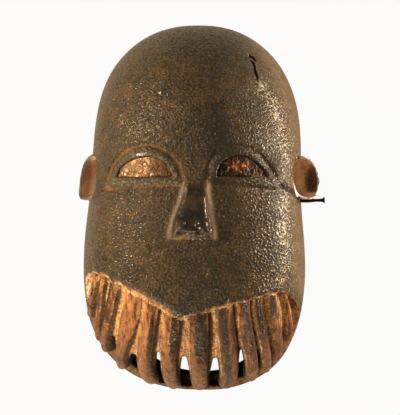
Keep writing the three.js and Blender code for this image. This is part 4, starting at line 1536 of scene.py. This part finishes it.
# %% Mouth, ears and hollow
streaks = noise(where, 0.0036, 4.0, 0.66, stretch=(1.0, 0.28, 0.5))
broad_streaks = noise(where, 0.009, 3.0, 0.6, stretch=(1.0, 0.35, 0.6))
crumbs = noise(where, 0.0017, 4.0, 0.75)
slat_tone = layer["slat_tone"]
slat_light = ramp(with_noise(slat_tone, (streaks, 1.6), (broad_streaks, 0.8)), 0.2, 0.8)
worn_toes = with_noise(layer["slat_length"], (broad_streaks, 1.0), (streaks, 0.6))
soot_share = with_noise(layer["soot"], (crumbs, 0.9), (streaks, 1.7), (broad_streaks, 0.6))
crust_mask = ramp(with_noise(layer["valley"], (crumbs, 2.2), (broad_streaks, 1.6)), 0.42, 0.66)
crust_light = ramp(with_noise(slat_tone, (crumbs, 5.0), (streaks, 1.0)), -0.2, 0.8)
floor_mask = minus(1.0, layer["crest"])
floor_light = ramp(with_noise(slat_tone, (crumbs, 3.0), (streaks, 1.4)), 0.1, 0.9)
floor_tone = coated(
    blended(floor_light, (98, 58, 27), (232, 166, 98)),
    (ramp(layer["slat_length"], 0.62, 0.85, 0.0, 0.85), (88, 60, 38)),
)
dark_lines = with_noise(layer["crevice"], (crumbs, 1.0), (broad_streaks, 1.6))
bars = coated(
    blended(slat_light, (76, 45, 25), (208, 132, 70)),
    (ramp(worn_toes, 0.42, 0.72, 0.0, 0.85), blended(ramp(streaks, 0.42, 0.6), (140, 86, 50), (52, 36, 25))),
    (ramp(soot_share, 0.42, 0.66), blended(ramp(streaks, 0.35, 0.65), (34, 24, 17), (66, 48, 33))),
    (crust_mask, blended(crust_light, (112, 66, 30), (255, 214, 154))),
    (ramp(floor_mask, 0.45, 0.95, 0.0, 0.85), floor_tone),
    # painted shadow lines beside the slats
    (ramp(dark_lines, 0.35, 0.75, 0.0, 0.85), (50, 33, 20)),
    # near black in the slots as painted shade
    (layer["pierced"], (27, 20, 15)),
)
lip_share = with_noise(layer["lip"], (crumbs, 2.6), (streaks, 1.2), (broad_streaks, 1.0))
lip_light = ramp(with_noise(slat_tone, (crumbs, 5.0), (strokes, 2.4), (warm, 2.0)), 0.1, 1.2)
# painted shade on the far wall of the right ear's cup
stained = ramp(with_noise(layer["ear_stain"], (crumbs, 0.5), (warm, 0.8)), 0.22, 1.0)
# the cups are coloured very pale as painted light, for their shaded hollows
cup_light = blended(ramp(warm, 0.35, 0.7), (255, 200, 150), (255, 222, 180))
fibres = noise(where, 0.0026, 4.0, 0.6, stretch=(1.0, 0.08, 1.0))
colour = coated(
    colour,
    (layer["mouth"], bars),
    (ramp(lip_share, 0.45, 0.85, 0.0, 0.9), blended(lip_light, (96, 60, 30), (236, 184, 124))),
    (layer["ear_cup"], coated(cup_light, (stained, (52, 39, 29)))),
    (layer["ear_rim"], blended(ramp(warm, 0.36, 0.5), (92, 76, 60), (236, 228, 214))),
    (layer["inside"], blended(ramp(fibres, 0.35, 0.65), (74, 50, 31), (112, 80, 50))),
)

# Pigment is matt, the gloss is kept down in the painted shade beside the highlights and under the ear and on
# the nail's stain, and only the tops of the grain shine.
pigment = larger(dusty["Mask"], times(layer["mouth"], larger(crust_mask, floor_mask)))
pigment = larger(pigment, larger(layer["inside"], layer["ear_cup"]))
rough = ramp(grain["Height"], 0.3, 1.3, 0.32, 0.12)
rough = plus(plus(rough, times(layer["nose_left"], 0.3)), times(pigment, 0.4))
matte = times(larger(layer["dull"], layer["nail_stain"]), 0.85)
matte = larger(matte, times(layer["rubbed"], ramp(specks, 0.5, 0.6, 0.0, 0.7)))
calm = times(minus(1.0, times(layer["nose"], 0.8)), minus(1.0, times(layer["mouth"], 0.55)))
skin = bumped(times(grain["Height"], calm), 0.00035)
connect(shader, {
    "Base Color": colour,
    "Roughness": rough,
    "Specular IOR Level": times(ramp(grain["Height"], 0.4, 1.1, 0.1, 0.62), minus(1.0, matte)),
    "Normal": bumped(times(crumbs, layer["mouth"]), 0.0012, below=skin),
    "IOR": 1.5,
    "Specular Tint": paint(255, 236, 208),
})
print("wood:", len(tree.nodes), "nodes")

# %% Dress the wood
mask.data.materials.append(wood)
smooth_shaded(mask.data)
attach(mask, "root")
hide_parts("mask_body")
print("mask:", triangles(mask.data), "triangles")

# %% [markdown]
# ## Copper sheets in the eyes
#
# Each eye holds a thin sheet, beaten into the bed and crumpled by it. A sheet is a plain grid stretched
# over the half moon, and a Geometry Nodes tree gives it folds, creases and its thickness.


# %% Sheet grids
# Where each sheet is glossier and coloured lighter as a painted glint: place in plan, radius, amount.
POLISHED = {
    "copper_sheet_left": [(-50.0, 30.0, 9.0, 0.5), (-38.0, 32.0, 12.0, 0.4), (-22.0, 30.0, 8.0, -0.2)],
    "copper_sheet_right": [(32.5, 32.5, 6.5, 0.7), (44.0, 32.0, 7.0, 0.2), (52.0, 28.0, 5.0, -0.3)],
}


SHEET_COLUMNS = 120
SHEET_ROWS = 40
SHEET_MARGIN = 0.55
SHEET_DEPTH = -1.7


def sheet_grid(name, bed):
    """A grid over a half moon of the dome, a little inside the bed, with its outward directions."""
    left, right_end = bed[:, 0].min() + SHEET_MARGIN, bed[:, 0].max() - SHEET_MARGIN
    foot_left, foot_right = bed[0], bed[-1]
    u = (1.0 - np.cos(np.linspace(0.0, np.pi, SHEET_COLUMNS))) / 2.0
    across = left + (right_end - left) * u
    order = np.argsort(bed[:, 0])
    top = np.interp(across, bed[order, 0], bed[order, 1]) - SHEET_MARGIN * 1.15
    foot = np.interp(across, [foot_left[0], foot_right[0]], [foot_left[1], foot_right[1]]) + SHEET_MARGIN
    top = np.maximum(top, foot + 0.25)
    w = np.linspace(0.0, 1.0, SHEET_ROWS)
    gx = np.repeat(across[:, None], SHEET_ROWS, 1)
    gy = foot[:, None] + (top - foot)[:, None] * w
    flat = np.stack([gx.ravel(), gy.ravel()], 1)
    spots = np.column_stack([flat, dome_height(flat[:, 0], flat[:, 1])])
    out = dome_slope(spots)
    spots = spots + out * SHEET_DEPTH
    faces = []
    for i in range(SHEET_COLUMNS - 1):
        for j in range(SHEET_ROWS - 1):
            a = i * SHEET_ROWS + j
            faces.append((a, a + SHEET_ROWS, a + SHEET_ROWS + 1, a + 1))
    mesh = bpy.data.meshes.new(name)
    mesh.from_pydata(to_frame(spots).tolist(), [], faces)
    keep_layer(mesh, "out", out, "FLOAT_VECTOR")
    from_ends = np.minimum(u, 1 - u)[:, None] * (right_end - left)
    edge = np.minimum(np.minimum(w, 1 - w)[None, :] * (top - foot)[:, None], from_ends)
    keep_layer(mesh, "from_edge", edge.ravel())
    keep_layer(mesh, "polished", sum(patch(flat, *spot) for spot in POLISHED[name]))
    return mesh


# %% The sheet tree
sheet_tree, given, result = new_geometry_tree(
    "crumpled_sheet",
    floats=(
        ("Fold Size", 0.006),
        ("Fold Height", 0.0011),
        ("Crease Size", 0.0035),
        ("Crease Depth", 0.0005),
        ("Thickness", 0.0005),
    ),
    integers=(("Seed", 1),),
    materials=("Material",),
)
place = add(sheet_tree, "GeometryNodeInputPosition").outputs[0]
seeded = times(given["Seed"], 3.1)


def crumple(size, feature):
    inputs = {"Vector": place, "W": seeded, "Scale": divided(1.0, size)}
    made = add(sheet_tree, "ShaderNodeTexVoronoi", inputs, voronoi_dimensions="4D", feature=feature)
    return made.outputs["Distance"]


def range_of(value, high, to_low, to_high):
    inputs = {"Value": value, "From Min": 0.0, "From Max": high, "To Min": to_low, "To Max": to_high}
    return add(sheet_tree, "ShaderNodeMapRange", inputs).outputs["Result"]


crease = range_of(crumple(given["Crease Size"], "DISTANCE_TO_EDGE"), 0.14, 1.0, 0.0)
lift = less_and_times(crumple(given["Fold Size"], "F1"), 0.45, given["Fold Height"])
lift = minus(lift, times(crease, given["Crease Depth"]))
lift = times(lift, range_of(field(sheet_tree, "from_edge"), 1.2, 0.0, 1.0))
outwards = field(sheet_tree, "out", "FLOAT_VECTOR")
move = {"Geometry": given["Geometry"], "Offset": vectors("SCALE", outwards, lift)}
folded = add(sheet_tree, "GeometryNodeSetPosition", move).outputs[0]
folded = add(
    sheet_tree,
    "GeometryNodeStoreNamedAttribute",
    {"Geometry": folded, "Name": "crease", "Value": crease},
    data_type="FLOAT",
    domain="POINT",
).outputs[0]
thick = vectors("SCALE", outwards, times(given["Thickness"], -1.0))
skirt = add(
    sheet_tree,
    "GeometryNodeExtrudeMesh",
    {"Mesh": folded, "Offset": thick, "Offset Scale": 1.0, "Individual": False},
    mode="FACES",
)
flipped = add(sheet_tree, "GeometryNodeFlipFaces", {"Mesh": folded}).outputs[0]
closed = add(sheet_tree, "GeometryNodeJoinGeometry")
sheet_tree.links.new(skirt.outputs["Mesh"], closed.inputs[0])
sheet_tree.links.new(flipped, closed.inputs[0])
WELD = 0.000005
welded = {"Geometry": closed.outputs[0], "Distance": WELD}
closed = add(sheet_tree, "GeometryNodeMergeByDistance", welded).outputs[0]
closed = add(sheet_tree, "GeometryNodeFlipFaces", {"Mesh": closed}).outputs[0]
closed = add(sheet_tree, "GeometryNodeRealizeInstances", {"Geometry": closed}).outputs[0]
last = {"Geometry": closed, "Material": given["Material"]}
sheet_tree.links.new(add(sheet_tree, "GeometryNodeSetMaterial", last).outputs[0], result["Geometry"])


# %% Copper material
def copper(name, light, dark, tarnish, balance, rough_low, rough_high):
    material, tree, shader, where = shader_start(name)
    # Where the polish layer is, the sheet is coloured lighter as a painted glint, and its roughness is
    # lower.
    patches = use_group(patina_group, {
        "Vector": where,
        "Light Tone": paint(*light),
        "Dark Tone": paint(*dark),
        "Patch Size": 0.009,
        "Balance": plus(balance, times(layer_value(tree, "polished"), 0.3)),
    })
    grain = use_group(grain_group, {"Vector": where, "Size": 0.0011, "Fineness": 0.9})
    soiled = use_group(dust_group, {
        "Vector": where,
        "Color": patches["Color"],
        "Dust": paint(*tarnish),
        "Amount": plus(times(layer_value(tree, "crease"), 0.56), times(grain["Pits"], 0.2)),
        "Grain Size": 0.0015,
    })
    polish = ramp(patches["Mask"], 0.0, 1.0, rough_high, rough_low)
    connect(shader, {
        "Base Color": soiled["Color"],
        "Metallic": minus(0.95, times(soiled["Mask"], 0.8)),
        "Roughness": plus(polish, times(soiled["Mask"], 0.25)),
        "Normal": bumped(grain["Height"], 0.0002, 0.5),
    })
    return material


FINISHES = {
    "left": copper("pink_copper", (188, 142, 98), (126, 90, 58), (84, 56, 34), 0.47, 0.45, 0.62),
    "right": copper("dark_copper", (210, 128, 72), (84, 59, 41), (56, 40, 28), 0.31, 0.34, 0.5),
}
for side, node, seed in (("left", "eye_inlay_left", 4), ("right", "eye_inlay_right", 9)):
    sheet = placed(f"copper_sheet_{side}", sheet_grid(f"copper_sheet_{side}", EYES[side]["bed"]))
    sheet.data = grown(
        sheet,
        sheet_tree,
        {
            "Fold Size": 0.0058,
            "Fold Height": 0.0013,
            "Crease Size": 0.0042,
            "Crease Depth": 0.00045,
            "Thickness": 0.0005,
            "Seed": seed,
            "Material": FINISHES[side],
        },
    )
    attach(sheet, "root")
    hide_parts(node)
    print(sheet.name, triangles(sheet.data), "triangles")

# %% [markdown]
# ## The iron nail
#
# A hand-made nail with a flared head sticks out level under the right ear. A turned profile is right for
# it, and small seeded changes of radius make it look forged.

# %% Nail
NAIL_PROFILE = [
    (-8.4, 0.0), (-8.3, 0.5), (-7.2, 0.85), (-4.0, 1.15), (0.0, 1.3), (4.0, 1.28), (8.0, 1.12), (11.0, 1.02),
    (13.2, 1.08), (14.6, 1.3), (15.3, 1.7), (15.6, 2.05), (16.05, 2.15), (16.4, 1.9), (16.48, 1.0),
    (16.5, 0.0),
]
NAIL_SIDES = 28
NAIL_THICKER = 1.3
rings = smooth_line(NAIL_PROFILE, 90)
forged = np.random.default_rng(7)
wobble = forged.normal(0.0, 1.0, (len(rings), NAIL_SIDES))
for _ in range(3):
    wobble = (wobble + np.roll(wobble, 1, 1) + np.roll(wobble, -1, 1)) / 3
    wobble = (wobble + np.roll(wobble, 1, 0) + np.roll(wobble, -1, 0)) / 3
angles = np.linspace(0, 2 * np.pi, NAIL_SIDES, endpoint=False)
square_off = 1.0 - 0.05 * np.cos(4 * angles)
nail_points = []
for (along, radius), bumps in zip(rings, wobble):
    r = NAIL_THICKER * max(radius, 0.0) * square_off * (1.0 - 0.03 + 0.22 * bumps.clip(-0.5, 0.1))
    nail_points.append(np.column_stack([np.full(NAIL_SIDES, along), r * np.cos(angles), r * np.sin(angles)]))
nail_points = np.concatenate(nail_points)
c, s = math.cos(NAIL_TILT), math.sin(NAIL_TILT)
turned = nail_points.copy()
turned[:, 0] = nail_points[:, 0] * c - nail_points[:, 1] * s
turned[:, 1] = nail_points[:, 0] * s + nail_points[:, 1] * c
nail_points = turned + np.array(NAIL_ROOT)
nail_faces = []
for i in range(len(rings) - 1):
    for j in range(NAIL_SIDES):
        a, b = i * NAIL_SIDES + j, i * NAIL_SIDES + (j + 1) % NAIL_SIDES
        nail_faces.append((a, b, b + NAIL_SIDES, a + NAIL_SIDES))
nail_mesh = bpy.data.meshes.new("iron_nail")
nail_mesh.from_pydata(to_frame(nail_points).tolist(), [], nail_faces)
iron, tree, shader, where = shader_start("rusty_iron")
patches = use_group(patina_group, {
    "Vector": where,
    "Light Tone": paint(96, 70, 50),
    "Dark Tone": paint(40, 38, 36),
    "Patch Size": 0.005,
    "Balance": 0.46,
})
grain = use_group(grain_group, {"Vector": where, "Size": 0.0009, "Fineness": 1.0})
rust = use_group(dust_group, {
    "Vector": where,
    "Color": patches["Color"],
    "Dust": paint(112, 62, 34),
    "Amount": times(grain["Pits"], 0.6),
    "Grain Size": 0.0009,
})
connect(shader, {
    "Base Color": rust["Color"],
    "Metallic": minus(0.85, times(rust["Mask"], 0.8)),
    "Roughness": plus(0.42, times(rust["Mask"], 0.4)),
    "Normal": bumped(grain["Height"], 0.0003, 0.7),
})
nail_mesh.materials.append(iron)
nail = placed("iron_nail", nail_mesh)
weld = nail.modifiers.new("weld", "WELD")
weld.merge_threshold = 0.00002
nail.data = baked(nail)
nail.modifiers.clear()
smooth_shaded(nail.data)
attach(nail, "root")
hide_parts("side_nail")
print("nail:", triangles(nail.data), "triangles")

# %% [markdown]
# ## Floor and light
#
# The photograph has a bright, even ground. The floor is a pale matt sheet that also glows a little, so
# that it stays pale where the mask shades it. A narrow lamp close by and low on the right draws the long
# bright band on the shoulder. One on the upper left lights the other brow, one past the chin the slats,
# and a low one the toes. The wide lamps over the crown and at both sides only fill, so they aren't seen
# in reflections.

# %% Floor
floor_mesh = bpy.data.meshes.new("pale_floor")
floor_mesh.from_pydata([(-4, -4, 0), (4, -4, 0), (4, 4, 0), (-4, 4, 0)], [], [(0, 1, 2, 3)])
floor = placed("pale_floor", floor_mesh)
paper = bpy.data.materials.new("pale_paper")
paper.use_nodes = True
tree = paper.node_tree
shader = tree.nodes["Principled BSDF"]
shader.inputs["Base Color"].default_value = paint(176, 160, 138)
shader.inputs["Roughness"].default_value = 0.9
glow = add(tree, "ShaderNodeEmission", {"Color": (1.0, 1.0, 1.0, 1.0), "Strength": 0.995})
seen = add(tree, "ShaderNodeLightPath").outputs["Is Camera Ray"]
both = add(tree, "ShaderNodeMixShader", {"Fac": times(seen, 0.95)})
tree.links.new(shader.outputs[0], both.inputs[1])
tree.links.new(glow.outputs[0], both.inputs[2])
tree.links.new(both.outputs[0], tree.nodes["Material Output"].inputs["Surface"])
floor_mesh.materials.append(paper)
floor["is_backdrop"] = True


# %% Lights
WARM = (1.0, 0.93, 0.82)


def soft_light(name, direction, distance, width, height, power, reflected):
    """A rectangular lamp that looks at the middle of the mask from a direction."""
    data = bpy.data.lights.new(name, "AREA")
    data.shape = "RECTANGLE"
    data.size, data.size_y = width, height
    data.energy = power
    data.color = WARM
    lamp = placed(name, data)
    away = Vector(direction).normalized()
    lamp.location = Vector((0.0, 0.0, 0.05)) + away * distance
    lamp.rotation_euler = away.to_track_quat("Z", "Y").to_euler()
    lamp.visible_glossy = reflected


# Direction, distance, width, height, power, and whether reflections show it.
LAMPS = {
    "right_lamp": ((1.0, 0.16, -0.05), 0.56, 0.42, 0.04, 4.8, True),
    "left_lamp": ((-0.72, 0.33, 0.6), 1.6, 0.2, 0.15, 22.0, True),
    "toe_lamp": ((-0.2, -1.0, 0.05), 1.3, 0.7, 0.12, 8.0, True),
    "right_fill": ((1.0, 0.1, 0.12), 1.3, 0.8, 0.3, 11.0, False),
    "left_fill": ((-1.0, 0.1, 0.1), 1.3, 0.5, 0.2, 4.0, False),
    "chin_lamp": ((-0.42, -0.85, 0.34), 1.6, 0.5, 0.3, 15.0, True),
    "top_lamp": ((-0.3, 0.1, 1.0), 1.9, 1.2, 1.2, 13.0, False),
}
for name, lamp_values in LAMPS.items():
    soft_light(name, *lamp_values)
world = bpy.data.worlds.new("studio")
world.use_nodes = True
background = world.node_tree.nodes["Background"]
background.inputs["Color"].default_value = (1.0, 0.95, 0.86, 1.0)
background.inputs["Strength"].default_value = 0.2
world.cycles_visibility.glossy = False
bpy.context.scene.world = world
bpy.context.scene.view_settings.view_transform = "Standard"

# %% [markdown]
# ## The two boxes
#
# The box of the solids and the box of the dressed mask are both printed. The dressed mask has to stay
# inside the box of the solids.

# %% Sizes and the end
seen_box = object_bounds()
boxes = {"cad": [list(cad_box[0]), list(cad_box[1])], "visual": [list(seen_box[0]), list(seen_box[1])]}
for name, (low, high) in boxes.items():
    print(name, [round(v * 1000, 2) for v in (*low, *high)])
